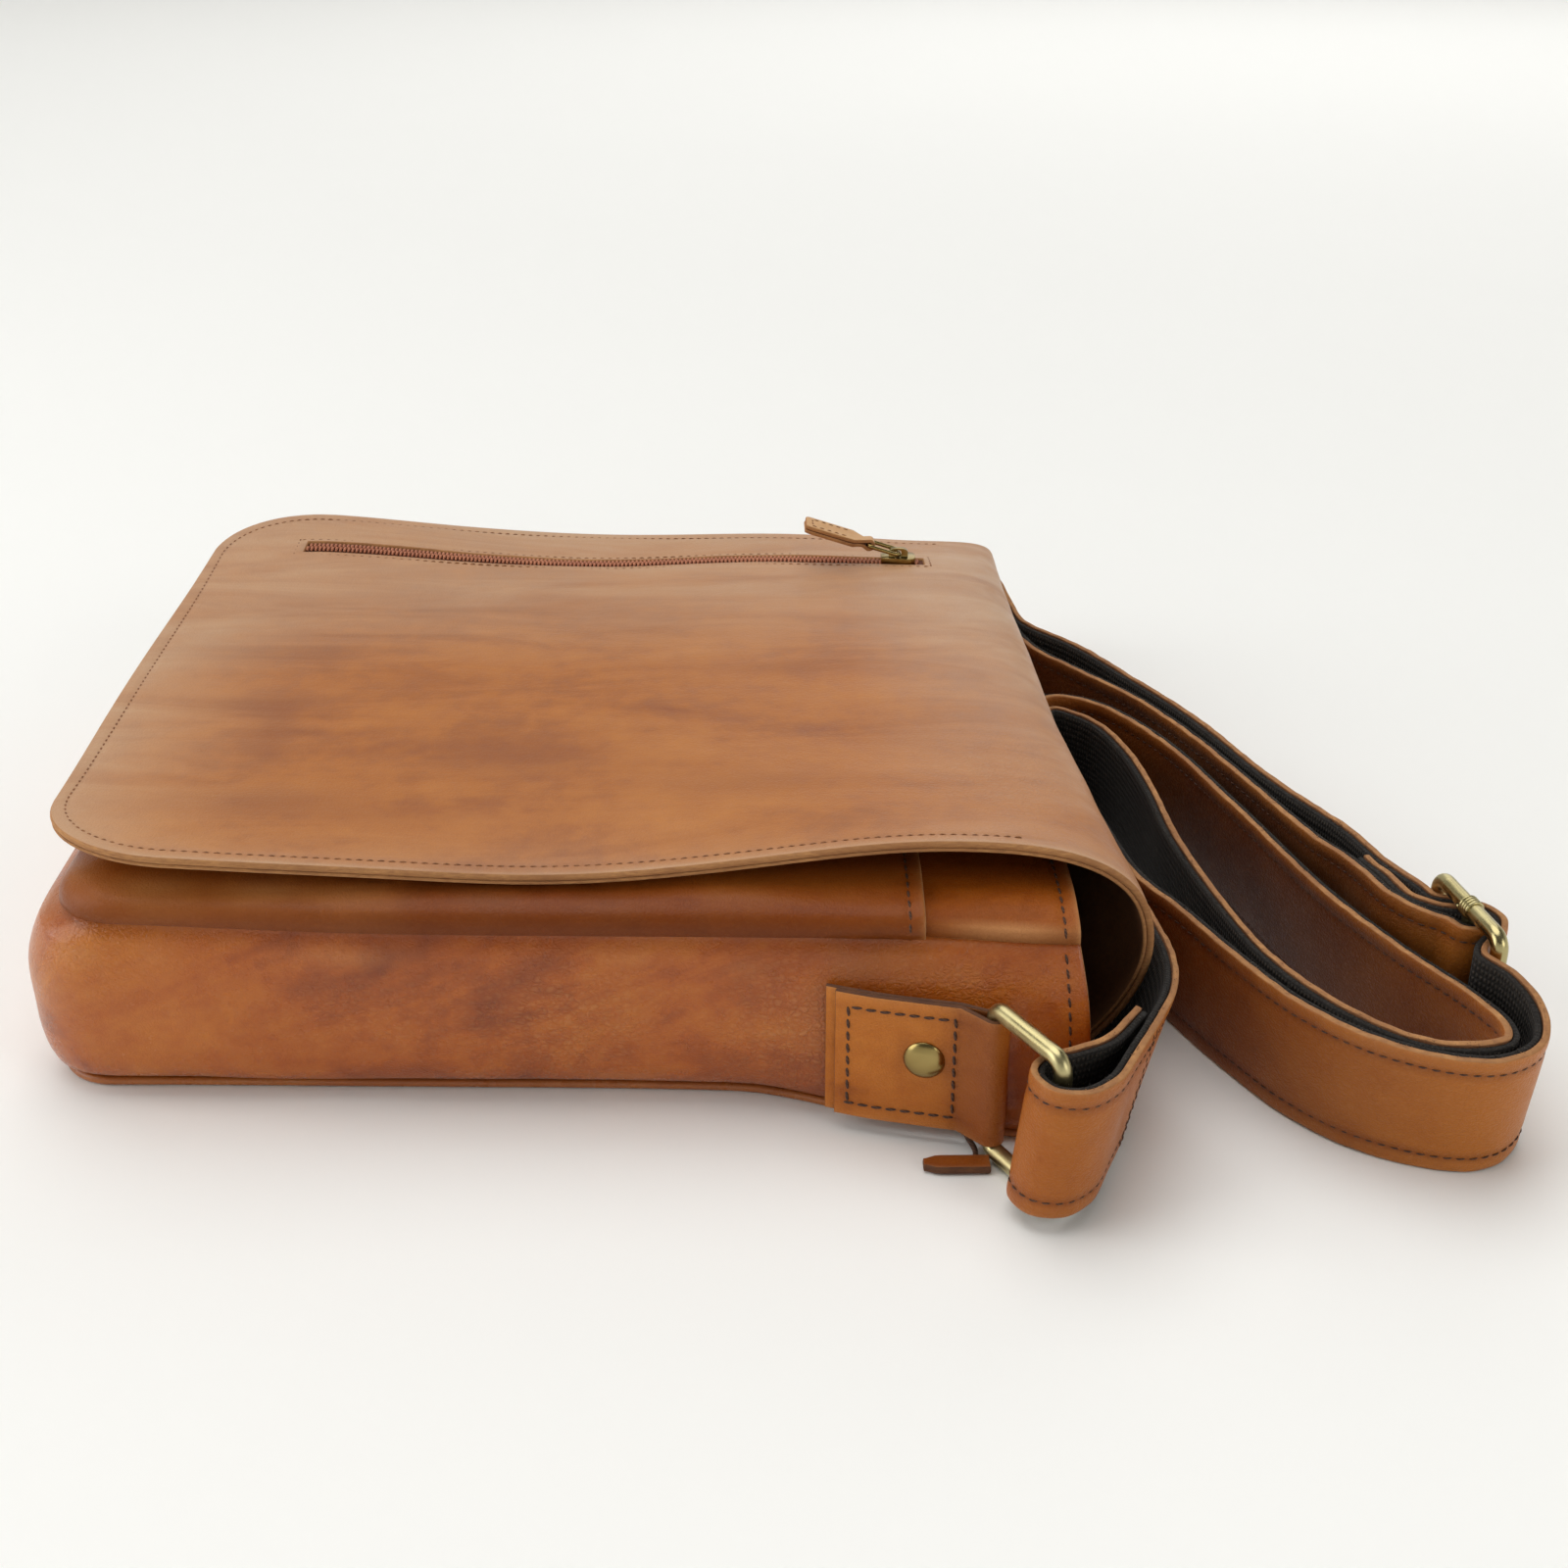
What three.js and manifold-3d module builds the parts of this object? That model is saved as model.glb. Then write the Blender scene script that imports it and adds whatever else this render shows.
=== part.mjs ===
// Leather shoulder bag with a fold-over flap, lying on its back. Millimetres, +Z up.
// +X is the mouth, -X the bottom, -Y the side towards the viewer. The origin is under the back panel.
import * as THREE from 'three';
import { mergeVertices } from 'three/addons/utils/BufferGeometryUtils.js';
import Module from 'manifold-3d';

const wasm = await Module();
wasm.setup();

// Driving dimensions
const GAP = 0.3;
const LEATHER = 2.0;
const BOTTOM_X = -167;
const FRONT_BOTTOM_X = -158;
const MOUTH_X = 126;
const MOUTH_BULGE = 3;
const CORNER_R = 18;
const BACK_THICK = 2.5;
const BACK_MARGIN = 0;
const BACK_MOUTH_X = 128;
const SEAM_Z = 57.6;
const GUSSET_TOP_Z = 55.6;

// Half width of the bag at its front seam, at its back seam on the near side, where it splays at the
// mouth, and how far the gusset swells between the seams
const SIDE_SHAPE = [
  { x: -167, seam: 137, nearBase: 137, swell: 6 },
  { x: -60, seam: 145, nearBase: 139.7, swell: 6 },
  { x: 30, seam: 148, nearBase: 143.2, swell: 6 },
  { x: 80, seam: 150, nearBase: 159.5, swell: 4 },
  { x: 126, seam: 155, nearBase: 168.5, swell: 3 },
];

// Section of the gusset from the back seam to the front seam: out is a share of the swell at the
// sides and bottom is how far it stands out at the bag's bottom
const GUSSET_SECTION = [
  { level: 0, out: -0.15, bottom: -0.5 },
  { level: 0.05, out: 0.5, bottom: 3 },
  { level: 0.18, out: 0.93, bottom: 5 },
  { level: 0.42, out: 1, bottom: 5.8 },
  { level: 0.7, out: 0.86, bottom: 8.5 },
  { level: 0.9, out: 0.4, bottom: 8.4 },
  { level: 1, out: -0.1, bottom: -0.6 },
];
const SIDE_STATIONS = [112, 97, 83, 69, 55, 40, 20, -5, -35, -65, -98];
const CORNER_TURNS = [18, 36, 54, 72, 90];
const BOTTOM_STATIONS = [-70, -35, 0, 35, 70];

// Front panel and pocket: rolled borders on a nearly flat face
const ROLL_HIGH = 6.5;
const ROLL_WIDE = 24;
const CROWN = { high: 1.2, x: -25, reachX: 110, reachY: 80 };
const ROLL_STEPS = [0, 1.2, 4, 9, 16];
const FLAT_FROM = 26;
const FLAT_STEPS = 7;
const FLAT_SHARES = [0.8, 0.55, 0.28];
const POCKET_HEM_X = 84;
const POCKET_LIFT = 0.4;

// Flap
const FLAP_TOP = 73.5;
const FLAP_FREE_X = -165;
const FLAP_HALF = 138;
const FLAP_CORNER_R = 40;
const FLAP_BOW = { deep: 2.5, reach: 60 };
const FOLD_START_X = 104;
const FOLD_REACH = 0.78;
const FLAP_TAIL = { z: BACK_THICK + GAP, bendX: 116, ease: 12, endX: 98 };
const LINING = 1.1;

// Section of the fold over the mouth: its outermost point and how round it is above and below
const FOLD_SHAPE = [
  { y: -138, bulgeX: 150, bulgeZ: 45, above: 17, below: 20 },
  { y: -85, bulgeX: 143, bulgeZ: 53, above: 12, below: 12 },
  { y: 0, bulgeX: 136, bulgeZ: 58, above: 9, below: 7 },
  { y: 138, bulgeX: 134, bulgeZ: 56, above: 9, below: 7 },
];

// Lifts and sags of the flap's face
const FLAP_WAVES = [
  { x: 88, y: -140, reachX: 48, reachY: 42, high: 5.5 },
  { x: -20, y: -145, reachX: 50, reachY: 35, high: -4.2 },
  { x: -150, y: 135, reachX: 60, reachY: 50, high: 5.5 },
  { x: -152, y: -132, reachX: 45, reachY: 40, high: 3.5 },
];

// Sags that the flap, the front and the gusset's upper edge share
const BODY_SAGS = [
  { x: 0, y: 142, reachX: 80, reachY: 48, high: -4.5 },
  { x: 118, y: 145, reachX: 55, reachY: 40, high: -7.5 },
];

// Zip in the flap
const ZIP_Y = 103;
const ZIP_FROM_X = -131;
const ZIP_TO_X = 103;
const ZIP_SLOT = 10;
const ZIP_TAPE = { wide: 22, thick: 0.7, past: 7 };
const ZIP_TEETH = { wide: 5.4, under: 0.6 };
const ZIP_WAVES = [
  { x: -115, high: 3 },
  { x: -22, high: -4 },
  { x: 45, high: 1.5 },
  { x: 98, high: -3 },
];
const ZIP_WAVE_REACH = { x: 34, y: 26 };
const ZIP_SLIDER_X = 93;
const ZIP_SLIDER = { long: 13, wide: 8.6, thick: 2.4, nose: 0.32, waist: 0.4, flare: 0.2, seat: 0.5 };
const CROWN_ARCH = { half: 3.6, high: 3.4, thick: 2, sink: 0.2, room: 0.45 };
const BAIL = { wire: 0.8, wide: 6.4, long: 12, corner: 1.6, clear: 0.5 };
const PULL = { long: 25, wide: 11, layer: 1.3, rise: 18, neck: 4, shoulder: 6, wrap: 75 };

// Strap and its fittings
const STRAP = { wide: 39, leather: 2.0, webbing: 1.6, inset: 0.6 };
const RING_WIRE = 2.2;
const RING_LOW = 2.5;
const STRAP_LIFT = RING_LOW + RING_WIRE + GAP;
const RING_BAR = { x: 101.5, out: 5 };
const RING_BOW = { near: { x: 116, y: -199 }, far: { x: 121.5, y: 175.8 } };
const RING_TOP_ROOM = 1.3;
const RING_HIGH = STRAP_LIFT + STRAP.wide + RING_TOP_ROOM + RING_WIRE;
const TAB = { fromX: 57, frontX: 59.5, bendX: 70, loopX: 93, wide: 40, spacing: 2.3, wrap: 125, steps: 6 };
const RIVET = { x: 83.5, z: 27, r: 5.8, high: 2.2 };
const RIVET_PROFILE = [
  { r: 0, high: 0 },
  { r: 1, high: 0 },
  { r: 1, high: 0.3 },
  { r: 0.85, high: 0.68 },
  { r: 0.5, high: 0.92 },
  { r: 0, high: 1 },
];
const SLIDER_BARS = [
  { x: 247.3, y: -141 },
  { x: 244.4, y: -122.75 },
  { x: 241.5, y: -104.5 },
];
const SLIDER_CORNER_R = 4;
const SLIDER_CENTRE_R = 2;
const RING_CORNER = { bar: 3.2, bow: 4.5 };
const REAR_PULL = { thick: 2.4, wide: 5.4, tipX: 83, endX: 101, y: -180, taper: 4 };
const REAR_THONG = { x: 96.8, wide: 2.6, root: 1 };

// Strap on the table, seen from above, from its sewn end at the near ring to its sewn end at the slider.
// Lift is a share of the height at which the fittings hold it. LeanX and leanY are how far its lower
// edge stands from its upper edge.
const NEAR_LOOP = [
  { x: 141.5, y: -169, lift: 1, leanX: -8 },
  { x: 131, y: -183, lift: 1, leanX: -6.5 },
  { x: 121, y: -188.5, lift: 1, leanX: -5 },
  { x: 113.2, y: -191.5, lift: 1, leanX: -4.5 },
  { x: 109.8, y: -197.5, lift: 1, leanX: -4.5 },
  { x: 113.2, y: -204.5, lift: 1, leanX: -4.5 },
  { x: 121, y: -206, lift: 1, leanX: -5 },
  { x: 129, y: -200.5, lift: 1, leanX: -5.5 },
  { x: 136, y: -188.5, lift: 1, leanX: -6.5 },
  { x: 144.6, y: -172, lift: 0.9, leanX: -8 },
];
const ALONG_MOUTH = [
  { x: 152, y: -155, lift: 0.7, leanX: -12 },
  { x: 155, y: -137, lift: 0.5, leanX: -16 },
  { x: 153.4, y: -112, lift: 0.3, leanX: -13 },
  { x: 149.3, y: -86, lift: 0.2, leanX: -7 },
  { x: 144.3, y: -54, lift: 0.1, leanX: -3 },
  { x: 139.3, y: -15 },
  { x: 137.3, y: 15 },
];
const FIRST_TURN = [
  { x: 138, y: 36 },
  { x: 143.5, y: 47 },
  { x: 153, y: 47 },
  { x: 163.5, y: 39.5 },
  { x: 179.5, y: 11.5 },
  { x: 195.5, y: -41 },
  { x: 210.3, y: -96 },
  { x: 224, y: -130.5, lift: 0.02 },
];
const INNER_END = [
  { x: 236, y: -154.5, lift: 0.05, leanY: 1.5 },
  { x: 241, y: -170, lift: 0.06, leanY: 4 },
  { x: 239.2, y: -178, lift: 0.06, leanY: 5 },
  { x: 231, y: -181.2, lift: 0.06, leanY: 5 },
  { x: 216.5, y: -179.3, lift: 0.06, leanY: 4.5 },
  { x: 199.4, y: -164, lift: 0.06, leanY: 3.5 },
  { x: 184.2, y: -136, lift: 0.05, leanY: 2 },
  { x: 176.7, y: -105, lift: 0.02 },
  { x: 170.2, y: -61.5 },
  { x: 168.6, y: -27 },
];
const MIDDLE_TURN = [
  { x: 165.1, y: 1.5 },
  { x: 158.8, y: 22.3 },
  { x: 150.5, y: 32.8 },
  { x: 145.8, y: 35.8 },
  { x: 142.6, y: 33 },
  { x: 142.1, y: 25 },
  { x: 142.4, y: 8 },
  { x: 144.6, y: -15 },
  { x: 149.5, y: -54 },
  { x: 155.2, y: -85.5 },
  { x: 164.5, y: -106, lift: 0.02 },
];
const OUTER_END = [
  { x: 176, y: -134.5, lift: 0.05, leanY: 2 },
  { x: 187.7, y: -158, lift: 0.06, leanY: 3.5 },
  { x: 203.3, y: -175.8, lift: 0.06, leanY: 4.5 },
  { x: 222, y: -185.8, lift: 0.06, leanY: 5 },
  { x: 234.5, y: -186.7, lift: 0.08, leanY: 5 },
  { x: 246, y: -179.5, lift: 0.12, leanX: -2, leanY: 4 },
  { x: 250.6, y: -165, lift: 0.4, leanX: -2 },
];
const THROUGH_SLIDER = [
  { x: 247.2, y: -151.7, lift: 0.9 },
  { x: 242, y: -141.9, lift: 1 },
  { x: 245.9, y: -134.2, lift: 1 },
  { x: 251, y: -129.6, lift: 1 },
  { x: 253.6, y: -121.4, lift: 1 },
  { x: 250.2, y: -115.2, lift: 1 },
  { x: 244.5, y: -111.5, lift: 1 },
  { x: 238, y: -108.7, lift: 1 },
  { x: 236.2, y: -103.5, lift: 1 },
  { x: 233.4, y: -94.2, lift: 0.8 },
  { x: 230.3, y: -80, lift: 0.4 },
  { x: 226, y: -60, lift: 0.15 },
];
const TO_FAR_RING = [
  { x: 210, y: -21 },
  { x: 193.3, y: 28 },
  { x: 178, y: 61 },
  { x: 160.5, y: 95 },
  { x: 143.7, y: 117, lift: 0.1 },
  { x: 140, y: 137, lift: 0.4 },
  { x: 136.3, y: 156, lift: 0.9 },
  { x: 129.5, y: 171.5, lift: 1 },
  { x: 124, y: 180.3, lift: 1 },
  { x: 118.3, y: 179.8, lift: 1 },
  { x: 116.5, y: 175.5, lift: 1 },
  { x: 119.5, y: 170.3, lift: 1 },
];
const BACK_TO_SLIDER = [
  { x: 125.5, y: 166.5, lift: 1 },
  { x: 131, y: 158, lift: 1 },
  { x: 134.8, y: 143, lift: 0.8 },
  { x: 137.5, y: 125, lift: 0.5 },
  { x: 140, y: 108, lift: 0.3 },
  { x: 146, y: 91, lift: 0.1 },
  { x: 160, y: 71 },
  { x: 177.5, y: 44.5 },
  { x: 192.4, y: 11 },
  { x: 207.5, y: -38, lift: 0.1 },
  { x: 215.5, y: -66, lift: 0.3 },
  { x: 221, y: -81.5, lift: 0.6 },
];
const SEWN_END = [
  { x: 223.7, y: -95.6, lift: 0.9 },
  { x: 226.6, y: -106.9, lift: 1 },
  { x: 233, y: -116.4, lift: 1 },
  { x: 238.2, y: -120.8, lift: 1 },
  { x: 239.9, y: -123.6, lift: 1 },
  { x: 241.6, y: -126.4, lift: 1 },
  { x: 244.6, y: -127.4, lift: 1 },
  { x: 247.4, y: -126.2, lift: 1 },
  { x: 248.9, y: -122.6, lift: 1 },
  { x: 245.2, y: -117.6, lift: 1 },
  { x: 237.4, y: -114.5, lift: 1 },
  { x: 231, y: -108.2, lift: 1 },
  { x: 228, y: -95, lift: 0.9 },
  { x: 225.2, y: -81.2, lift: 0.6 },
];
const STRAP_ROUTE = [
  ...NEAR_LOOP, ...ALONG_MOUTH, ...FIRST_TURN, ...INNER_END, ...MIDDLE_TURN, ...OUTER_END,
  ...THROUGH_SLIDER, ...TO_FAR_RING, ...BACK_TO_SLIDER, ...SEWN_END,
].map(({ x, y, lift = 0, leanX = 0, leanY = 0 }, at) => ({ x, y, lift, leanX, leanY, at }));
const BEND_STEP = 0.28;
const LONG_STEP = 17;

// Finishes
const finish = (color, roughness, metalness) =>
  new THREE.MeshStandardMaterial({ color, roughness, metalness });
const TAN = finish(0xa86a35, 0.45, 0);
const RUSSET = finish(0x94512a, 0.42, 0);
const RAW_EDGE = finish(0x9a6a40, 0.8, 0);
const WEBBING = finish(0x15130f, 0.95, 0);
const BRASS = finish(0x9c8a4e, 0.35, 0.9);
const ZIP_CLOTH = finish(0x6d3a22, 0.8, 0);

// Value of one column of a table at a place, eased from row to row
function column(rows, axis, name, at) {
  const last = rows.length - 1;
  const k = rows.findIndex((row) => row[axis] > at);
  if (k === 0) return rows[0][name];
  if (k < 0) return rows[last][name];
  const t = (at - rows[k - 1][axis]) / (rows[k][axis] - rows[k - 1][axis]);
  return THREE.MathUtils.lerp(rows[k - 1][name], rows[k][name], t * t * (3 - 2 * t));
}

const bell = (distance, reach) => Math.exp(-((distance / reach) ** 2));
const spread = (from, to, count) =>
  Array.from({ length: count + 1 }, (_, i) => from + ((to - from) * i) / count);

// Closed mesh from corner points and triangles, turned so that its faces point out
function closedMesh(points, triangles) {
  let volume = 0;
  for (const [a, b, c] of triangles) {
    volume += points[a].dot(new THREE.Vector3().crossVectors(points[b], points[c]));
  }
  const order = volume < 0 ? triangles.map(([a, b, c]) => [a, c, b]) : triangles;
  const geometry = new THREE.BufferGeometry();
  geometry.setAttribute('position', new THREE.Float32BufferAttribute(points.flatMap((p) => p.toArray()), 3));
  geometry.setIndex(order.flat());
  geometry.computeVertexNormals();
  return geometry;
}

// Normal of a grid of points at one of its nodes
function gridNormal(grid, i, j) {
  const rows = grid.length - 1;
  const cols = grid[0].length - 1;
  const along = grid[Math.min(i + 1, rows)][j].clone().sub(grid[Math.max(i - 1, 0)][j]);
  const across = grid[i][Math.min(j + 1, cols)].clone().sub(grid[i][Math.max(j - 1, 0)]);
  return along.cross(across).normalize();
}

// Sheet of leather between two offsets from a grid of points, with walls round its edge and its holes
function sheet(grid, outer, inner, keep = () => true) {
  const rows = grid.length - 1;
  const cols = grid[0].length - 1;
  const points = [];
  const node = new Map();
  const cornerAt = (i, j, side) => {
    const key = `${i},${j},${side}`;
    if (!node.has(key)) {
      const offset = side ? inner : outer;
      const amount = typeof offset === 'function' ? offset(i, j) : offset;
      node.set(key, points.length);
      points.push(grid[i][j].clone().addScaledVector(gridNormal(grid, i, j), amount));
    }
    return node.get(key);
  };
  const triangles = [];
  const quad = (a, b, c, d) => triangles.push([a, b, c], [a, c, d]);
  const kept = (i, j) => i >= 0 && j >= 0 && i < rows && j < cols && keep(i, j);
  const wall = (a, b) => {
    quad(cornerAt(...a, 0), cornerAt(...a, 1), cornerAt(...b, 1), cornerAt(...b, 0));
  };
  for (let i = 0; i < rows; i += 1) {
    for (let j = 0; j < cols; j += 1) {
      if (!kept(i, j)) continue;
      quad(cornerAt(i, j, 0), cornerAt(i + 1, j, 0), cornerAt(i + 1, j + 1, 0), cornerAt(i, j + 1, 0));
      quad(cornerAt(i, j, 1), cornerAt(i, j + 1, 1), cornerAt(i + 1, j + 1, 1), cornerAt(i + 1, j, 1));
      if (!kept(i, j - 1)) wall([i, j], [i + 1, j]);
      if (!kept(i + 1, j)) wall([i + 1, j], [i + 1, j + 1]);
      if (!kept(i, j + 1)) wall([i + 1, j + 1], [i, j + 1]);
      if (!kept(i - 1, j)) wall([i, j + 1], [i, j]);
    }
  }
  return closedMesh(points, triangles);
}

// Points along a smooth route, close together where it bends
function routePoints(route) {
  const curve = new THREE.CatmullRomCurve3(route, false, 'centripetal');
  const count = Math.ceil(curve.getLength());
  const kept = [];
  let turned = Infinity;
  for (let k = 0; k <= count; k += 1) {
    const t = curve.getUtoTmapping(k / count);
    const place = curve.getPoint(t).setZ(0);
    const heading = curve.getTangent(t).setZ(0).normalize();
    const last = kept[kept.length - 1];
    if (last) turned = heading.angleTo(last.heading);
    if (turned > BEND_STEP || place.distanceTo(last.place) > LONG_STEP || k === count) {
      kept.push({ place, heading, row: t * (route.length - 1) });
    }
  }
  return kept;
}

// Band standing on edge along a line of places, from one side offset to another
function band(places, low, high, fromSide, toSide) {
  const grid = places.map((p) => [low, high].map((z) => new THREE.Vector3(p.x, p.y, z)));
  return sheet(grid, toSide, fromSide);
}

// Round wire along a flat closed loop of points
function wireLoop(loop, planeNormal, radius, sides) {
  const points = [];
  const triangles = [];
  const count = loop.length;
  loop.forEach((p, k) => {
    const along = loop[(k + 1) % count].clone().sub(loop[(k + count - 1) % count]).normalize();
    const out = along.cross(planeNormal).normalize();
    for (let s = 0; s < sides; s += 1) {
      const turn = ((s + 0.5) / sides) * Math.PI * 2;
      const rim = p.clone().addScaledVector(out, radius * Math.cos(turn));
      points.push(rim.addScaledVector(planeNormal, radius * Math.sin(turn)));
    }
  });
  for (let k = 0; k < count; k += 1) {
    for (let s = 0; s < sides; s += 1) {
      const a = k * sides + s;
      const b = k * sides + ((s + 1) % sides);
      const c = ((k + 1) % count) * sides + ((s + 1) % sides);
      const d = ((k + 1) % count) * sides + s;
      triangles.push([a, b, c], [a, c, d]);
    }
  }
  return closedMesh(points, triangles);
}

// Rounded rectangle of points in a plane, with one radius at its start side and one at its end side
function roundedLoop(at, length, height, startR, endR, steps) {
  const corners = [
    { u: length - endR, v: endR, r: endR, from: -90 },
    { u: length - endR, v: height - endR, r: endR, from: 0 },
    { u: startR, v: height - startR, r: startR, from: 90 },
    { u: startR, v: startR, r: startR, from: 180 },
  ];
  return corners.flatMap(({ u, v, r, from }) =>
    spread(from, from + 90, steps).map((degrees) => {
      const turn = THREE.MathUtils.degToRad(degrees);
      return at(u + r * Math.cos(turn), v + r * Math.sin(turn));
    }),
  );
}

// Joins by solid geometry
function solid(geometry) {
  const bare = geometry.clone();
  bare.deleteAttribute('normal');
  bare.deleteAttribute('uv');
  const merged = mergeVertices(bare, 1e-4);
  return new wasm.Manifold(
    new wasm.Mesh({
      numProp: 3,
      vertProperties: new Float32Array(merged.attributes.position.array),
      triVerts: new Uint32Array(merged.index.array),
    }),
  );
}

function unite(...geometries) {
  const mesh = geometries.map(solid).reduce((whole, piece) => whole.add(piece)).getMesh();
  const geometry = new THREE.BufferGeometry();
  geometry.setAttribute('position', new THREE.BufferAttribute(new Float32Array(mesh.vertProperties), 3));
  geometry.setIndex(new THREE.BufferAttribute(new Uint32Array(mesh.triVerts), 1));
  geometry.computeVertexNormals();
  return geometry;
}

const bag = new THREE.Group();

function add(name, geometry, material, parent = bag) {
  const mesh = new THREE.Mesh(geometry, material);
  mesh.name = name;
  parent.add(mesh);
  return mesh;
}

// Bag body
const seamHalf = (x) => column(SIDE_SHAPE, 'x', 'seam', x);
const baseHalf = (x, sign) => (sign < 0 ? column(SIDE_SHAPE, 'x', 'nearBase', x) : seamHalf(x));
const halfWidth = (x, level, sign) => THREE.MathUtils.lerp(baseHalf(x, sign), seamHalf(x), level);
const swell = (x) => column(SIDE_SHAPE, 'x', 'swell', x);
const bottomX = (level) => THREE.MathUtils.lerp(BOTTOM_X, FRONT_BOTTOM_X, level ** 3);
const waves = (rows, x, y) =>
  rows.reduce((z, w) => z + w.high * bell(x - w.x, w.reachX) * bell(y - w.y, w.reachY), 0);
const bodySag = (x, y) => waves(BODY_SAGS, x, y);
const CORNER_X = BOTTOM_X + CORNER_R;

// Stations round the near side, the bottom and the far side, each with its turn from straight out
function rimStations() {
  const oneSide = (sign) => [
    ...[MOUTH_X, ...SIDE_STATIONS, CORNER_X].map((x) => ({ x, sign, turn: 0 })),
    ...CORNER_TURNS.map((turn) => ({ x: CORNER_X, sign, turn })),
  ];
  return [...oneSide(-1), ...BOTTOM_STATIONS.map((y) => ({ y })), ...oneSide(1).reverse()];
}

function rimPoint(station, level, sideOut, bottomOut) {
  const back = bottomX(level);
  if (station.y !== undefined) return [back - bottomOut, station.y];
  const { x, sign } = station;
  const turn = THREE.MathUtils.degToRad(station.turn);
  const reach = CORNER_R + THREE.MathUtils.lerp(sideOut, bottomOut, Math.sin(turn));
  const centreX = x === CORNER_X ? back + CORNER_R : x;
  const mouth = x === MOUTH_X && sign < 0 ? MOUTH_BULGE * Math.sin(Math.PI * level) : 0;
  const centreY = halfWidth(x, level, sign) - CORNER_R;
  return [centreX + mouth - reach * Math.sin(turn), sign * (centreY + reach * Math.cos(turn))];
}

const gussetGrid = rimStations().map((station) =>
  GUSSET_SECTION.map(({ level, out, bottom }) => {
    const [x, y] = rimPoint(station, level, out * swell(station.x ?? BOTTOM_X), bottom);
    const top = GUSSET_TOP_Z + bodySag(x, y);
    return new THREE.Vector3(x, y, THREE.MathUtils.lerp(BACK_THICK + GAP, top, level));
  }),
);
add('gusset', sheet(gussetGrid, 0, LEATHER), RUSSET);

// Back panel: the outline of the back seam
const backShape = new THREE.Shape();
rimStations().forEach((station, k) => {
  const [x, y] = rimPoint(station, 0, BACK_MARGIN, BACK_MARGIN);
  const outX = station.x === MOUTH_X ? BACK_MOUTH_X : x;
  if (k === 0) backShape.moveTo(outX, y);
  else backShape.lineTo(outX, y);
});
add('back_panel', new THREE.ExtrudeGeometry(backShape, { depth: BACK_THICK, bevelEnabled: false }), RUSSET);

// Front panel and pocket share one crowned face with rolled borders
function frontFace(x, across) {
  const wide = seamHalf(x);
  const past = Math.max(FRONT_BOTTOM_X + CORNER_R - x, 0);
  const edge = wide - CORNER_R + Math.sqrt(Math.max(CORNER_R ** 2 - past ** 2, 0));
  const y = across * edge;
  const inCorner = past > 0 && Math.abs(y) > wide - CORNER_R;
  const toCorner = CORNER_R - Math.hypot(past, Math.abs(y) - (wide - CORNER_R));
  const depth = inCorner ? toCorner : Math.min(x - FRONT_BOTTOM_X, wide - Math.abs(y));
  const q = 1 - Math.min(Math.max(depth, 0) / ROLL_WIDE, 1);
  const crown = CROWN.high * bell(x - CROWN.x, CROWN.reachX) * bell(y, CROWN.reachY);
  return new THREE.Vector3(x, y, SEAM_Z + bodySag(x, y) + ROLL_HIGH * Math.sqrt(1 - q * q) + crown);
}

function frontGrid(toX) {
  const flatXs = spread(FRONT_BOTTOM_X + FLAT_FROM, toX, FLAT_STEPS);
  const xs = [...ROLL_STEPS.map((d) => FRONT_BOTTOM_X + d), ...flatXs];
  const far = [...ROLL_STEPS.map((d) => 1 - d / seamHalf(BOTTOM_X)), ...FLAT_SHARES];
  const across = [...far.map((a) => -a), 0, ...[...far].reverse()];
  return xs.map((x) => across.map((a) => frontFace(x, a)));
}
add('front_panel', sheet(frontGrid(MOUTH_X), 0, -LEATHER), RUSSET);
add('front_pocket', sheet(frontGrid(POCKET_HEM_X), POCKET_LIFT + LEATHER, POCKET_LIFT), RUSSET);

// Flap: a face with waves, a fold over the mouth and a tail sewn to the back panel
const flapWave = (x, y) => waves(FLAP_WAVES, x, y) + bodySag(x, y);
const zipWave = (x) => ZIP_WAVES.reduce((y, w) => y + w.high * bell(x - w.x, ZIP_WAVE_REACH.x), 0);

function bezier(a, b, c, d, t) {
  const s = 1 - t;
  return s * s * s * a + 3 * s * s * t * b + 3 * s * t * t * c + t * t * t * d;
}

// Place on the flap: along runs in x over the face, then 0 to 1 round the top of the fold,
// 1 to 2 down to the tail and 2 to 3 along the tail
function flapFace(x, v) {
  const past = Math.max(FLAP_FREE_X + FLAP_CORNER_R - x, 0);
  const edge = FLAP_HALF - FLAP_CORNER_R + Math.sqrt(Math.max(FLAP_CORNER_R ** 2 - past ** 2, 0));
  const y = (v * edge) / FLAP_HALF + zipWave(x) * bell(v - ZIP_Y, ZIP_WAVE_REACH.y);
  const nearFree = Math.max(1 - (x - FLAP_FREE_X) / FLAP_BOW.reach, 0);
  const bow = FLAP_BOW.deep * nearFree * (1 - (v / FLAP_HALF) ** 2);
  return new THREE.Vector3(x - bow, y, FLAP_TOP + flapWave(x, y));
}

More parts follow.
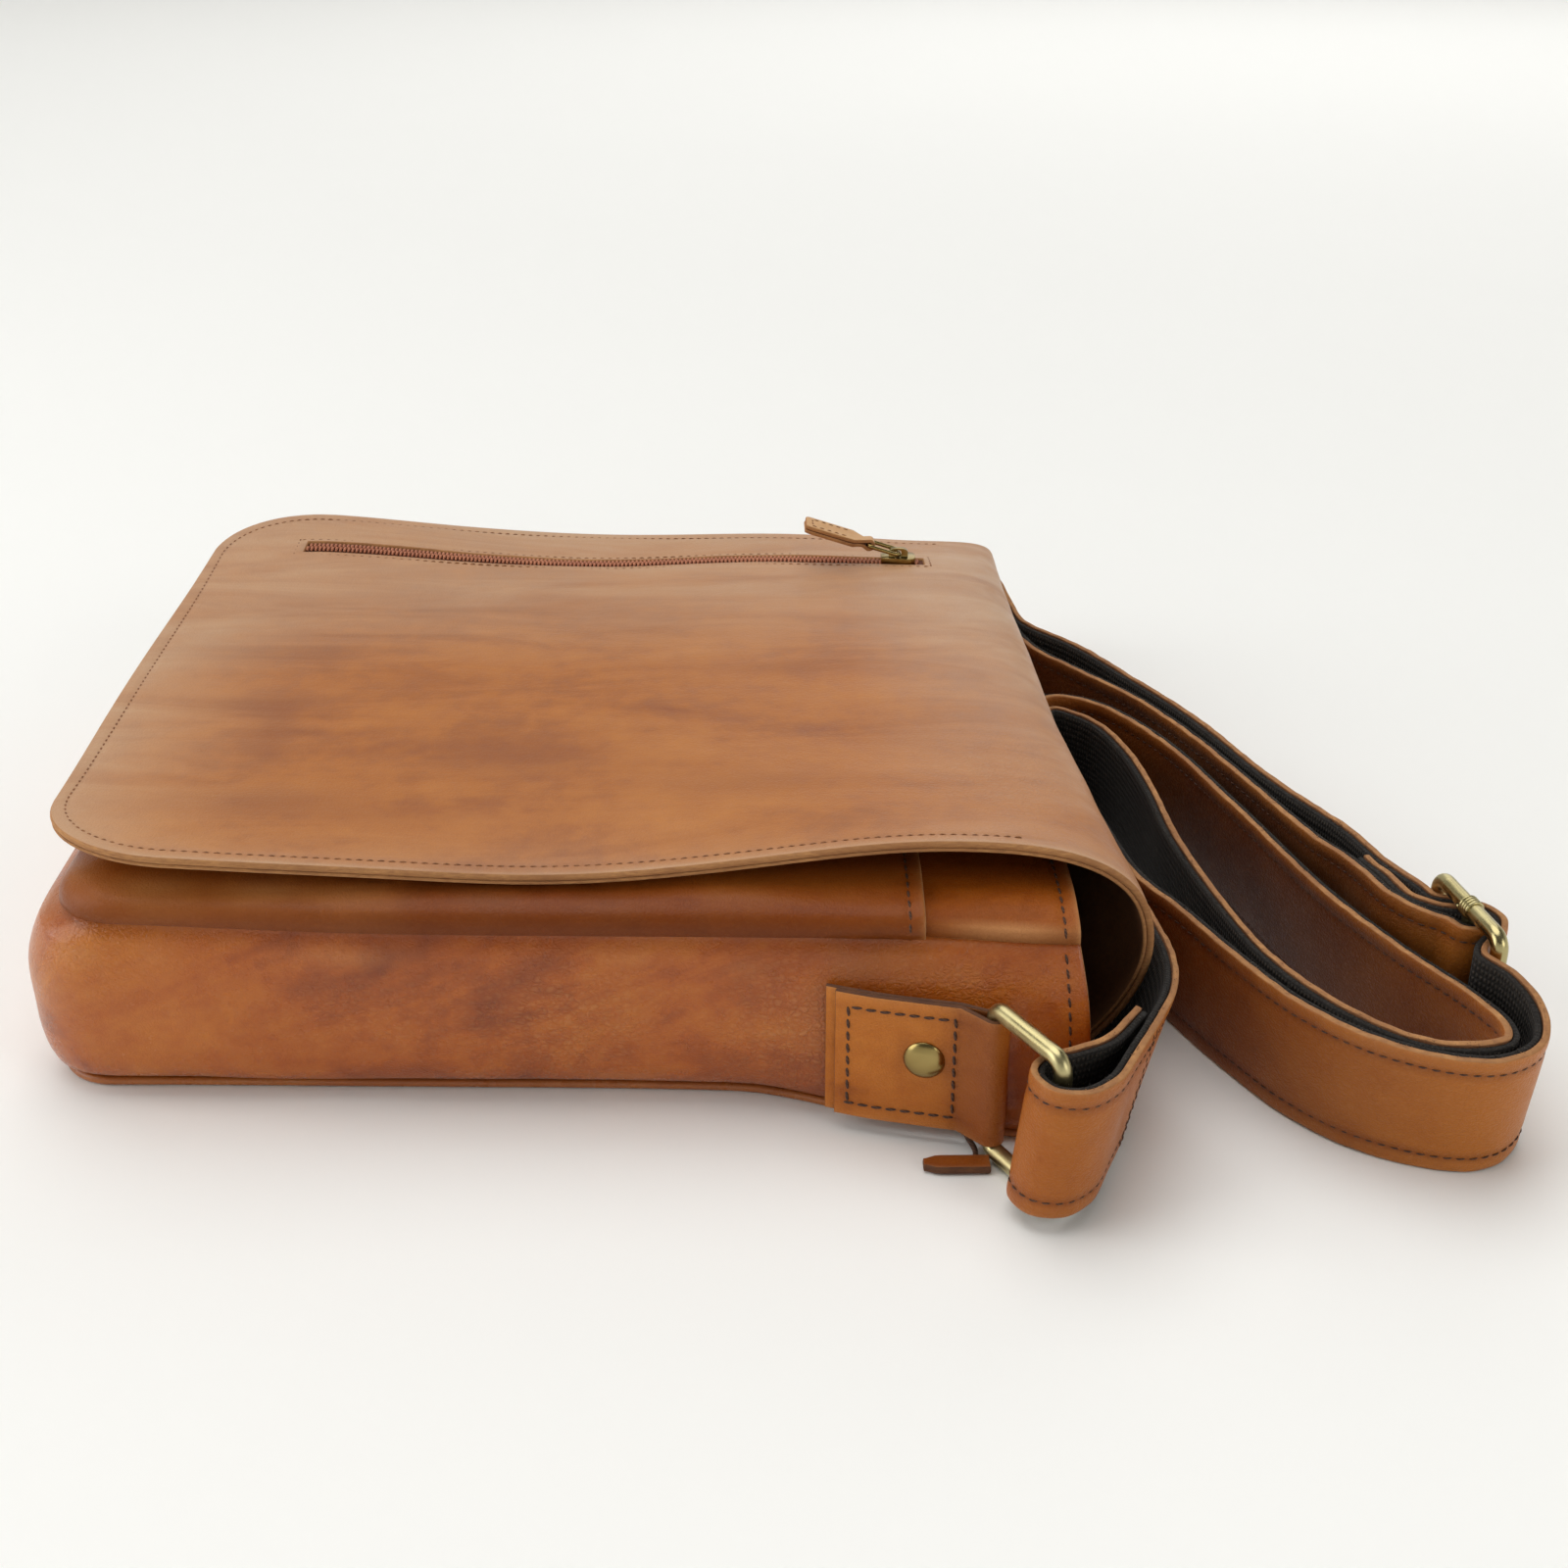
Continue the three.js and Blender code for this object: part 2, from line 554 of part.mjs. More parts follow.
function flapFold(part, v) {
  const start = flapFace(FOLD_START_X, v);
  const ahead = flapFace(FOLD_START_X + 1, v);
  const bulgeX = column(FOLD_SHAPE, 'y', 'bulgeX', v);
  const bulgeZ = column(FOLD_SHAPE, 'y', 'bulgeZ', v);
  const above = column(FOLD_SHAPE, 'y', 'above', v);
  const below = column(FOLD_SHAPE, 'y', 'below', v);
  const reach = (bulgeX - FOLD_START_X) * FOLD_REACH;
  const rise = (ahead.z - start.z) * reach;
  if (part <= 1) {
    const x = bezier(FOLD_START_X, FOLD_START_X + reach, bulgeX, bulgeX, part);
    const z = bezier(start.z, start.z + rise, bulgeZ + above, bulgeZ, part);
    return new THREE.Vector3(x, THREE.MathUtils.lerp(start.y, v, part), z);
  }
  const { bendX, ease, z: tailZ, endX } = FLAP_TAIL;
  if (part <= 2) {
    const x = bezier(bulgeX, bulgeX, bendX + ease, bendX, part - 1);
    return new THREE.Vector3(x, v, bezier(bulgeZ, bulgeZ - below, tailZ, tailZ, part - 1));
  }
  return new THREE.Vector3(THREE.MathUtils.lerp(bendX, endX, part - 2), v, tailZ);
}

const slotHalf = ZIP_SLOT / 2;
const tapeHalf = ZIP_TAPE.wide / 2;
const FLAP_VS = [-FLAP_HALF, -128, -106, -76, -42, -8, 26, 60, ZIP_Y - tapeHalf - 1, ZIP_Y - slotHalf];
FLAP_VS.push(ZIP_Y + slotHalf, ZIP_Y + tapeHalf + 1, 127, FLAP_HALF);
const FLAP_ENTRY = [0, 1.5, 6, 14, 24].map((d) => FLAP_FREE_X + d);
const FLAP_XS = [...FLAP_ENTRY, ZIP_FROM_X, ...spread(-112, 84, 9), ZIP_TO_X];
const FOLD_PARTS = [...spread(0, 1, 7), ...spread(1, 2, 7).slice(1), 3];

function flapGrid(xs, parts, vs) {
  const face = xs.map((x) => vs.map((v) => flapFace(x, v)));
  const fold = parts.map((part) => vs.map((v) => flapFold(part, v)));
  return [...face, ...fold];
}

const flapKeep = (i, j) => {
  const inLength = FLAP_XS[i] >= ZIP_FROM_X && FLAP_XS[i] < ZIP_TO_X;
  return !(inLength && FLAP_VS[j] >= ZIP_Y - slotHalf - 0.1 && FLAP_VS[j] < ZIP_Y + slotHalf - 0.1);
};
add('flap', sheet(flapGrid(FLAP_XS, FOLD_PARTS, FLAP_VS), 0, -LEATHER, flapKeep), TAN);

// Lining of the flap, pushed down under the zip tape
const liningParts = FOLD_PARTS.filter((part) => part <= 1.75);
const liningTop = (i, j) => {
  const nearZip = Math.abs(FLAP_VS[j] - ZIP_Y) < tapeHalf + 2 && i >= 4 && i <= FLAP_XS.length + 1;
  return -(LEATHER + GAP + (nearZip ? ZIP_TAPE.thick + GAP : 0));
};
const liningGrid = flapGrid(FLAP_XS, liningParts, FLAP_VS);
add('flap_lining', sheet(liningGrid, liningTop, (i, j) => liningTop(i, j) - LINING), RAW_EDGE);

// Zip
const zipXs = FLAP_XS.filter((x) => x >= ZIP_FROM_X);
const tapeXs = [ZIP_FROM_X - ZIP_TAPE.past, ...zipXs];
const tapeTop = -(LEATHER + GAP);
const tapeVs = [ZIP_Y - tapeHalf, ZIP_Y - slotHalf, ZIP_Y + slotHalf, ZIP_Y + tapeHalf];
add('zip_tape', sheet(flapGrid(tapeXs, [], tapeVs), tapeTop, tapeTop - ZIP_TAPE.thick), ZIP_CLOTH);

const teethXs = [ZIP_FROM_X + 2, ...zipXs.slice(1, -1), ZIP_TO_X - 2];
const teethVs = [ZIP_Y - ZIP_TEETH.wide / 2, ZIP_Y, ZIP_Y + ZIP_TEETH.wide / 2];
const teethGrid = flapGrid(teethXs, [], teethVs);
add('zip_teeth', sheet(teethGrid, -ZIP_TEETH.under, tapeTop + GAP), ZIP_CLOTH);

// Slider of the zip: a shield plate with an arched crown that the bail hangs in
const zipPlace = new THREE.Group();
const zipAt = flapFace(ZIP_SLIDER_X, ZIP_Y);
const zipAhead = flapFace(ZIP_SLIDER_X + 4, ZIP_Y);
zipPlace.position.copy(zipAt);
zipPlace.rotation.y = -Math.atan2(zipAhead.z - zipAt.z, zipAhead.x - zipAt.x);
bag.add(zipPlace);

const PLATE_TOP = ZIP_SLIDER.seat + ZIP_SLIDER.thick - ZIP_TEETH.under;
function sliderPlate() {
  const { long, wide, thick, nose, waist, flare } = ZIP_SLIDER;
  const shape = new THREE.Shape();
  shape.moveTo(-long / 2, -wide * nose);
  shape.quadraticCurveTo(0, -wide * waist, long * flare, -wide / 2);
  shape.quadraticCurveTo(long / 2, -wide / 2, long / 2, 0);
  shape.quadraticCurveTo(long / 2, wide / 2, long * flare, wide / 2);
  shape.quadraticCurveTo(0, wide * waist, -long / 2, wide * nose);
  const plate = new THREE.ExtrudeGeometry(shape, { depth: thick, bevelEnabled: false, curveSegments: 4 });
  return plate.translate(0, 0, PLATE_TOP - thick);
}

const BAIL_Z = PLATE_TOP + BAIL.wire + BAIL.clear;
function sliderCrown() {
  const { half, high, thick, sink, room } = CROWN_ARCH;
  const arch = new THREE.Shape();
  arch.moveTo(-half, 0);
  arch.lineTo(-half, high / 2);
  arch.quadraticCurveTo(-half, high, 0, high);
  arch.quadraticCurveTo(half, high, half, high / 2);
  arch.lineTo(half, 0);
  const eye = new THREE.Path();
  eye.absarc(0, BAIL_Z - PLATE_TOP + sink, BAIL.wire + room, 0, Math.PI * 2);
  arch.holes.push(eye);
  const bar = new THREE.ExtrudeGeometry(arch, { depth: thick, bevelEnabled: false, curveSegments: 6 });
  return bar.rotateX(Math.PI / 2).translate(0, thick / 2, PLATE_TOP - sink);
}
add('zip_slider', unite(sliderPlate(), sliderCrown()), BRASS, zipPlace);

// Bail and leather pull, raised about the bail's seat in the crown
const pullPlace = new THREE.Group();
pullPlace.position.set(0, 0, BAIL_Z);
pullPlace.rotation.y = THREE.MathUtils.degToRad(PULL.rise) - zipPlace.rotation.y;
zipPlace.add(pullPlace);
const bailAt = (u, v) => new THREE.Vector3(-u, v - BAIL.wide / 2, 0);
const bailLoop = roundedLoop(bailAt, BAIL.long, BAIL.wide, BAIL.corner, BAIL.corner, 3);
add('zip_bail', wireLoop(bailLoop, new THREE.Vector3(0, 0, 1), BAIL.wire, 8), BRASS, pullPlace);

function pullBand() {
  const round = BAIL.wire + GAP + PULL.layer / 2;
  const flat = (PULL.layer + GAP) / 2;
  const tip = -(BAIL.long + PULL.long);
  const shoulder = -(BAIL.long + PULL.shoulder);
  const turn = spread(-PULL.wrap, PULL.wrap, 6).map((degrees) => {
    const angle = THREE.MathUtils.degToRad(degrees);
    return [-BAIL.long + round * Math.cos(angle), round * Math.sin(angle)];
  });
  const line = [[tip, -flat], [shoulder, -flat], ...turn, [shoulder, flat], [tip, flat]];
  const narrow = BAIL.wide / 2 - BAIL.wire - GAP;
  const grid = line.map(([x, z]) => {
    const reach = x > -BAIL.long - PULL.neck ? narrow : PULL.wide / 2;
    return [new THREE.Vector3(x, -reach, z), new THREE.Vector3(x, reach, z)];
  });
  return sheet(grid, PULL.layer / 2, -PULL.layer / 2);
}
add('zip_pull', pullBand(), TAN, pullPlace);

// Strap tabs, rings and rivets on both sides
function sideFittings(side, sign, bow) {
  const gussetOut = (x) => Math.max(baseHalf(x, sign), seamHalf(x)) + swell(x);
  const bar = new THREE.Vector3(RING_BAR.x, sign * (gussetOut(RING_BAR.x) + RING_BAR.out), 0);
  const layerAt = (x, layer) => {
    const out = gussetOut(x) + GAP + LEATHER / 2 + layer * TAB.spacing;
    return new THREE.Vector3(x, sign * out, 0);
  };
  const halfStep = THREE.MathUtils.degToRad(TAB.wrap / TAB.steps);
  const round = (RING_WIRE + GAP) / Math.cos(halfStep) + LEATHER / 2;
  const turn = spread(TAB.wrap, -TAB.wrap, TAB.steps).map((degrees) => {
    const angle = THREE.MathUtils.degToRad(degrees);
    return new THREE.Vector3(bar.x + round * Math.cos(angle), bar.y - sign * round * Math.sin(angle), 0);
  });
  const top = STRAP_LIFT + TAB.wide;
  const backing = [TAB.fromX, TAB.bendX, TAB.loopX].map((x) => layerAt(x, 0));
  add(`tab_backing_${side}`, band(backing, STRAP_LIFT, top, -LEATHER / 2, LEATHER / 2), TAN);
  const frontLayer = [TAB.loopX, TAB.bendX, TAB.frontX].map((x) => layerAt(x, 1));
  const tabLine = [layerAt(TAB.loopX + GAP, 0), ...turn, ...frontLayer];
  add(`strap_tab_${side}`, band(tabLine, STRAP_LIFT, top, -LEATHER / 2, LEATHER / 2), TAN);

  const end = new THREE.Vector3(bow.x, bow.y, 0);
  const along = end.clone().sub(bar);
  const length = along.length();
  along.normalize();
  const across = new THREE.Vector3(0, 0, 1).cross(along);
  const ringAt = (u, v) => bar.clone().addScaledVector(along, u).setZ(RING_LOW + v);
  const ringLoop = roundedLoop(ringAt, length, RING_HIGH - RING_LOW, RING_CORNER.bar, RING_CORNER.bow, 4);
  add(`d_ring_${side}`, wireLoop(ringLoop, across, RING_WIRE, 8), BRASS);

  const profile = RIVET_PROFILE.map(({ r, high }) => new THREE.Vector2(r * RIVET.r, high * RIVET.high));
  const rivet = add(`rivet_${side}`, new THREE.LatheGeometry(profile, 16), BRASS);
  const bend = layerAt(TAB.bendX, 1);
  const slope = layerAt(TAB.loopX, 1).sub(bend);
  const seat = bend.addScaledVector(slope, (RIVET.x - TAB.bendX) / (TAB.loopX - TAB.bendX));
  slope.normalize();
  const out = new THREE.Vector3(-slope.y, slope.x, 0).multiplyScalar(sign);
  rivet.position.copy(seat).addScaledVector(out, LEATHER / 2 + GAP).setZ(RIVET.z);
  rivet.quaternion.setFromUnitVectors(new THREE.Vector3(0, 1, 0), out);
}
sideFittings('near', -1, RING_BOW.near);
sideFittings('far', 1, RING_BOW.far);

// Strap: leather on the right of its route and webbing on the left
const strapPlaces = routePoints(STRAP_ROUTE.map(({ x, y }) => new THREE.Vector3(x, y, 0)));

const LEAN_COLUMNS = ['lift', 'leanX', 'leanY'];

function strapBand(low, high, fromSide, toSide) {
  const grid = strapPlaces.map(({ place, row }) => {
    const [lift, leanX, leanY] = LEAN_COLUMNS.map((name) => column(STRAP_ROUTE, 'at', name, row));
    return [low, high].map((z) => {
      const below = 1 - z / STRAP.wide;
      return new THREE.Vector3(place.x + leanX * below, place.y + leanY * below, lift * STRAP_LIFT + z);
    });
  });
  return sheet(grid, toSide, fromSide);
}
const skin = GAP / 2;
const { inset, wide: strapWide } = STRAP;
add('strap_leather', strapBand(0, strapWide, skin, skin + STRAP.leather), TAN);
add('strap_webbing', strapBand(inset, strapWide - inset, -skin - STRAP.webbing, -skin), WEBBING);

// Three-bar slider
function strapSlider() {
  const [near, , far] = SLIDER_BARS.map(({ x, y }) => new THREE.Vector3(x, y, 0));
  const along = far.clone().sub(near);
  const length = along.length();
  along.normalize();
  const across = new THREE.Vector3(0, 0, 1).cross(along);
  const at = (u, v) => near.clone().addScaledVector(along, u).setZ(RING_LOW + v);
  const high = RING_HIGH - RING_LOW;
  const frame = roundedLoop(at, length, high, SLIDER_CORNER_R, SLIDER_CORNER_R, 4);
  const centre = new THREE.CylinderGeometry(SLIDER_CENTRE_R, SLIDER_CENTRE_R, high, 8).rotateX(Math.PI / 2);
  centre.translate(SLIDER_BARS[1].x, SLIDER_BARS[1].y, RING_LOW + high / 2);
  return unite(wireLoop(frame, across, RING_WIRE, 8), centre);
}
add('strap_slider', strapSlider(), BRASS);

// Leather pull on a thong that peeps out under the near corner of the mouth
function rearPull() {
  const { thick, wide, tipX, endX, y, taper } = REAR_PULL;
  const half = wide / 2;
  const rootY = (x) => -(baseHalf(x, -1) + BACK_MARGIN + REAR_THONG.root);
  const thongLeft = REAR_THONG.x - REAR_THONG.wide / 2;
  const thongRight = REAR_THONG.x + REAR_THONG.wide / 2;
  const shape = new THREE.Shape();
  shape.moveTo(tipX, y - half / 2);
  shape.lineTo(tipX + taper, y - half);
  shape.lineTo(endX, y - half);
  shape.lineTo(endX, y + half);
  shape.lineTo(thongRight, y + half);
  shape.lineTo(thongRight, rootY(thongRight));
  shape.lineTo(thongLeft, rootY(thongLeft));
  shape.lineTo(thongLeft, y + half);
  shape.lineTo(tipX + taper, y + half);
  shape.lineTo(tipX, y + half / 2);
  return new THREE.ExtrudeGeometry(shape, { depth: thick, bevelEnabled: false });
}
add('rear_pull', rearPull(), TAN);

export default bag;
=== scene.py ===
import math

import bpy
import numpy as np
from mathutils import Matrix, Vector


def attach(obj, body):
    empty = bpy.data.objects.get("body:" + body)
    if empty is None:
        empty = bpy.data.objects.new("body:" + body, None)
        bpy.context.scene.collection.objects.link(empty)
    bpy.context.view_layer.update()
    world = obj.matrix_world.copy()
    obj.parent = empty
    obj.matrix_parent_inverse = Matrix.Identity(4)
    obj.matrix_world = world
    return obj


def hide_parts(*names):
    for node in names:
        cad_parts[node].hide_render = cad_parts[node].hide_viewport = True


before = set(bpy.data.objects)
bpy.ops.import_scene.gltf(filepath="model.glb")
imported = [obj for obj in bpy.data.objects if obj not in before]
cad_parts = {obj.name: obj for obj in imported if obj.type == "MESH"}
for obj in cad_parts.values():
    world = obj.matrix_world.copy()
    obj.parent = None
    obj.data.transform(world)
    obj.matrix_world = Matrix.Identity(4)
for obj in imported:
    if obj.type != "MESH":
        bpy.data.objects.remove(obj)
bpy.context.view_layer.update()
print("frame loaded")

# all shapes below are worked out in millimetres and turned into metres when a mesh is made
leather = 2.0  # thickness of the body's leather
gap = 0.3  # room between layers


def rise(t):  # 0 below 0, 1 above 1, and a soft slope between
    t = np.clip(t, 0, 1)
    return t * t * (3 - 2 * t)


def bell(distance, reach):
    return np.exp(-((distance / reach) ** 2))


def spread(start, end, step):
    count = max(2, int(math.ceil(abs(end - start) / step)) + 1)
    return np.linspace(start, end, count)


def column(rows, axis, name, at):  # one column of a table, curved from row to row without overshoot
    xs = np.array([row[axis] for row in rows], float)
    ys = np.array([row.get(name, 0) for row in rows], float)
    at = np.clip(np.asarray(at, float), xs[0], xs[-1])
    h = np.diff(xs)
    d = np.diff(ys) / h
    slope = np.zeros(len(xs))
    same = d[:-1] * d[1:] > 0
    slope[1:-1][same] = 2 * d[:-1][same] * d[1:][same] / (d[:-1][same] + d[1:][same])
    k = np.clip(np.searchsorted(xs, at, side="right") - 1, 0, len(xs) - 2)
    t = (at - xs[k]) / h[k]
    a, b = ys[k], ys[k + 1]
    return (a * (1 + 2 * t) * (1 - t) ** 2 + b * t * t * (3 - 2 * t)
            + h[k] * (slope[k] * t * (1 - t) ** 2 + slope[k + 1] * t * t * (t - 1)))


def ripple(x, y, size, seed):  # soft random swell between about -1 and 1
    rng = np.random.default_rng(seed)
    total = np.zeros(np.broadcast(x, y).shape)
    for _ in range(9):
        turn = rng.uniform(0, math.tau)
        pitch = rng.uniform(0.6, 1.6) * math.tau / size
        start = rng.uniform(0, math.tau)
        total = total + np.sin((x * math.cos(turn) + y * math.sin(turn)) * pitch + start)
    return total / 4.5


def waves(rows, x, y):
    return sum(w["high"] * bell(x - w["x"], w["reachX"]) * bell(y - w["y"], w["reachY"]) for w in rows)


def unit(v):
    return v / np.maximum(np.linalg.norm(v, axis=-1, keepdims=True), 1e-9)


def gridNormals(grid):
    return unit(np.cross(np.gradient(grid, axis=0), np.gradient(grid, axis=1)))


def lengthAlong(line):
    return np.concatenate([[0], np.cumsum(np.linalg.norm(np.diff(line, axis=0), axis=1))])


def sample(at, run, values):  # rows of values at some lengths along a line
    return np.stack([np.interp(at, run, values[:, k]) for k in range(3)], 1)


def bandFaces(rings, count):  # faces between closed rings of points that follow each other
    k = np.arange(count)
    after = (k + 1) % count
    faces = []
    for low in range(0, (rings - 1) * count, count):
        high = low + count
        faces += np.stack([low + k, high + k, high + after, low + after], 1).tolist()
    return faces


def linked(name, data):
    piece = bpy.data.objects.new(name, data)
    bpy.context.scene.collection.objects.link(piece)
    return piece


def makePiece(name, points, faces, mats, faceMat=None, uv=None, marks=None, body="bag", stands=(),
              slot=None):
    data = bpy.data.meshes.new(name)
    faces = faces if isinstance(faces, list) else faces.tolist()
    data.from_pydata((np.asarray(points) / 1000).tolist(), [], faces)
    for mat in mats:
        data.materials.append(mat)
    if faceMat is not None:
        data.polygons.foreach_set("material_index", np.asarray(faceMat, np.int32))
    if uv is not None:
        layer = data.uv_layers.new(name="UVMap")
        corner = np.zeros(len(data.loops), np.int32)
        data.loops.foreach_get("vertex_index", corner)
        layer.data.foreach_set("uv", np.asarray(uv, np.float32)[corner].ravel())
    for key, values in (marks or {}).items():
        mark = data.attributes.new(key, "FLOAT", "POINT")
        mark.data.foreach_set("value", np.asarray(values, np.float32).ravel())
    data.shade_smooth()
    data.validate()
    piece = linked(name, data)
    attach(piece, body)
    if stands:
        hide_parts(*stands)
    return piece


def leatherSheet(name, grid, outer, inner, mats, keep=None, bulge=0.3, rounds=4, marks=None, **rest):
    # closed sheet between two offsets from a grid, with rounded edges all round it and round its holes
    n, m, _ = grid.shape
    normal = gridNormals(grid)
    outer = np.broadcast_to(np.asarray(outer, float), (n, m))
    inner = np.broadcast_to(np.asarray(inner, float), (n, m))
    keep = np.ones((n - 1, m - 1), bool) if keep is None else keep
    node = np.arange(n * m).reshape(n, m)
    top = (grid + normal * outer[..., None]).reshape(-1, 3)
    low = (grid + normal * inner[..., None]).reshape(-1, 3)
    a, b, c, d = node[:-1, :-1][keep], node[1:, :-1][keep], node[1:, 1:][keep], node[:-1, 1:][keep]
    quads = np.stack([a, b, c, d], 1)
    sides = (  # step to the next face on each side, and the two corners of the edge between them
        ((0, -1), (0, 0), (1, 0)),
        ((1, 0), (1, 0), (1, 1)),
        ((0, 1), (1, 1), (0, 1)),
        ((-1, 0), (0, 1), (0, 0)),
    )
    padded = np.pad(keep, 1)
    rims = []
    for (di, dj), first, last in sides:
        i, j = np.nonzero(keep & ~padded[1 + di:n + di, 1 + dj:m + dj])
        rims.append(np.stack([node[i + first[0], j + first[1]], node[i + last[0], j + last[1]]], 1))
    rim = np.concatenate(rims)
    flatGrid, flatNormal = grid.reshape(-1, 3), normal.reshape(-1, 3)
    out = np.zeros_like(flatGrid)
    away = np.cross(flatGrid[rim[:, 1]] - flatGrid[rim[:, 0]], flatNormal[rim[:, 0]])
    np.add.at(out, rim[:, 0], away)
    np.add.at(out, rim[:, 1], away)
    edge = np.unique(rim)
    place = np.full(n * m, -1)
    place[edge] = np.arange(len(edge))
    outDir = unit(out[edge])
    shares = np.linspace(0, 1, rounds + 1)[1:-1]
    thick = (outer.ravel() + (inner - outer).ravel() * shares[:, None])[:, edge]
    rounded = (bulge * np.sin(np.pi * shares))[:, None, None]
    rings = flatGrid[edge] + flatNormal[edge] * thick[..., None] + outDir * rounded
    points = np.concatenate([top, low, rings.reshape(-1, 3)])
    between = [2 * n * m + k * len(edge) + place[rim] for k in range(len(shares))]
    layers = [rim] + between + [rim + n * m]
    walls = [np.stack([u[:, 1], u[:, 0], v[:, 0], v[:, 1]], 1) for u, v in zip(layers, layers[1:])]
    walls = np.concatenate(walls)
    faces = np.concatenate([quads, walls, quads[:, ::-1] + n * m])
    faceMat = np.repeat([0, 1, 2], [len(quads), len(walls), len(quads)])
    if np.mean(outer - inner) < 0:
        faces = faces[:, ::-1]
    u = np.concatenate([[0], np.cumsum(np.linalg.norm(np.diff(grid, axis=0), axis=2).mean(1))])
    v = np.concatenate([[0], np.cumsum(np.linalg.norm(np.diff(grid, axis=1), axis=2).mean(0))])
    flatUv = np.stack(np.meshgrid(u, v, indexing="ij"), 2).reshape(-1, 2) / 100
    used = np.unique(faces)
    fresh = np.full(len(points), -1)
    fresh[used] = np.arange(len(used))

    def onPoints(values):  # from the grid to both faces and the rounded edge
        return np.concatenate([values, values] + [values[edge]] * len(shares))[used]

    flatMarks = {key: np.broadcast_to(values, (n, m)).reshape(-1) for key, values in (marks or {}).items()}
    pointMarks = {key: onPoints(values) for key, values in flatMarks.items()}
    return makePiece(name, points[used], fresh[faces], mats, faceMat, onPoints(flatUv), pointMarks, **rest)


def roundWire(lines, radius, sides=14):  # round wire along closed or open lines, as points and faces
    k = np.arange(sides)
    after = (k + 1) % sides
    turn = k / sides * math.tau
    rings, faces = [], []
    for line, closed in lines:
        line = np.asarray(line, float)
        start, count = len(rings), len(line)
        ahead = np.roll(line, -1, 0) - np.roll(line, 1, 0)
        if not closed:
            ahead[0] = line[1] - line[0]
            ahead[-1] = line[-1] - line[-2]
        along = unit(ahead)
        side = np.cross(along[0], [0.31, 0.27, 0.91])  # any direction that isn't along the wire
        for p, t in zip(line, along):  # the side direction is carried along, so the wire doesn't twist
            side = unit(side - t * np.dot(side, t))
            circle = np.outer(np.cos(turn), side) + np.outer(np.sin(turn), np.cross(t, side))
            rings.append(p + radius * circle)
        for low in range(start * sides, (start + count - 1) * sides, sides):
            high = low + sides
            faces += np.stack([low + k, low + after, high + after, high + k], 1).tolist()
        low, high = (start + count - 1) * sides, start * sides
        if closed:  # the first ring is turned to match the last one
            first, last = rings[start] - line[0], rings[-1] - line[-1]
            shift = int(np.argmin([np.abs(np.roll(first, -s, 0) - last).sum() for s in range(sides)]))
            ends = [high + (k + 1 + shift) % sides, high + (k + shift) % sides]
            faces += np.stack([low + k, low + after] + ends, 1).tolist()
        else:
            faces += [(high + k[::-1]).tolist(), (low + k).tolist()]
    return np.concatenate(rings), faces


def denser(line, step, closed=False):
    ends = np.roll(line, -1, 0) if closed else line[1:]
    out = []
    for p, q in zip(line, ends):
        count = max(1, int(np.linalg.norm(q - p) // step))
        out += [p + (q - p) * k / count for k in range(count)]
    return np.array(out if closed else out + [line[-1]])


def roundedLoop(at, length, height, startR, endR, steps=9):
    corners = (
        (length - endR, endR, endR, -90),
        (length - endR, height - endR, endR, 0),
        (startR, height - startR, startR, 90),
        (startR, startR, startR, 180),
    )
    line = []
    for u, v, r, begin in corners:
        for turn in np.radians(np.linspace(begin, begin + 90, steps)):
            line.append(at(u + r * math.cos(turn), v + r * math.sin(turn)))
    return denser(np.array(line), 2.0, True)


stitchLook = dict(long=3.3, wide=0.85, high=0.62, sink=0.28, slant=0.10, proud=0.22)


def stitchShape(sides=6):
    along = np.array([-0.86, -0.45, 0.0, 0.45, 0.86])
    turn = np.arange(sides) / sides * math.tau
    points = [[-1, 0, 0]]
    for x in along:
        r = math.sqrt(1 - x * x) ** 0.7
        points += [[x, r * math.cos(a), r * math.sin(a)] for a in turn]
    points.append([1, 0, 0])
    last = len(points) - 1
    faces = [[0, 1 + (k + 1) % sides, 1 + k] for k in range(sides)]
    for ring in range(len(along) - 1):
        low, high = 1 + ring * sides, 1 + (ring + 1) * sides
        faces += [[low + k, low + (k + 1) % sides, high + (k + 1) % sides, high + k] for k in range(sides)]
    faces += [[last, last - sides + k, last - sides + (k + 1) % sides] for k in range(sides)]
    return np.array(points), faces


def stitchRow(name, runs, mat, pitch=4.3, look=stitchLook, **rest):
    # runs are pairs of a line and its normals; every stitch is a little thread that dips at both ends
    shape, shapeFaces = stitchShape()
    sx, sy, sz = shape.T
    lift = sz * look["high"] / 2 - sx ** 2 * look["sink"] + look["high"] * look["proud"]
    feel = 0.8  # how far to either side the direction of a stitch is read
    clouds = []
    for line, normals in runs:
        line = np.asarray(line, float)
        normals = np.broadcast_to(np.asarray(normals, float), line.shape)
        run = lengthAlong(line)
        at = np.arange(pitch / 2, run[-1], pitch)
        ahead, behind = np.minimum(at + feel, run[-1]), np.maximum(at - feel, 0)
        along = unit(sample(ahead, run, line) - sample(behind, run, line))
        up = unit(sample(at, run, normals))
        across = unit(np.cross(up, along))
        along = unit(along + across * look["slant"])
        across = np.cross(up, along)
        clouds.append(sample(at, run, line)[:, None] + along[:, None] * (sx * look["long"] / 2)[:, None]
                      + across[:, None] * (sy * look["wide"] / 2)[:, None] + up[:, None] * lift[:, None])
    cloud = np.concatenate(clouds)
    faces = [[k * len(shape) + q for q in face] for k in range(len(cloud)) for face in shapeFaces]
    return makePiece(name, cloud.reshape(-1, 3), faces, [mat], **rest)


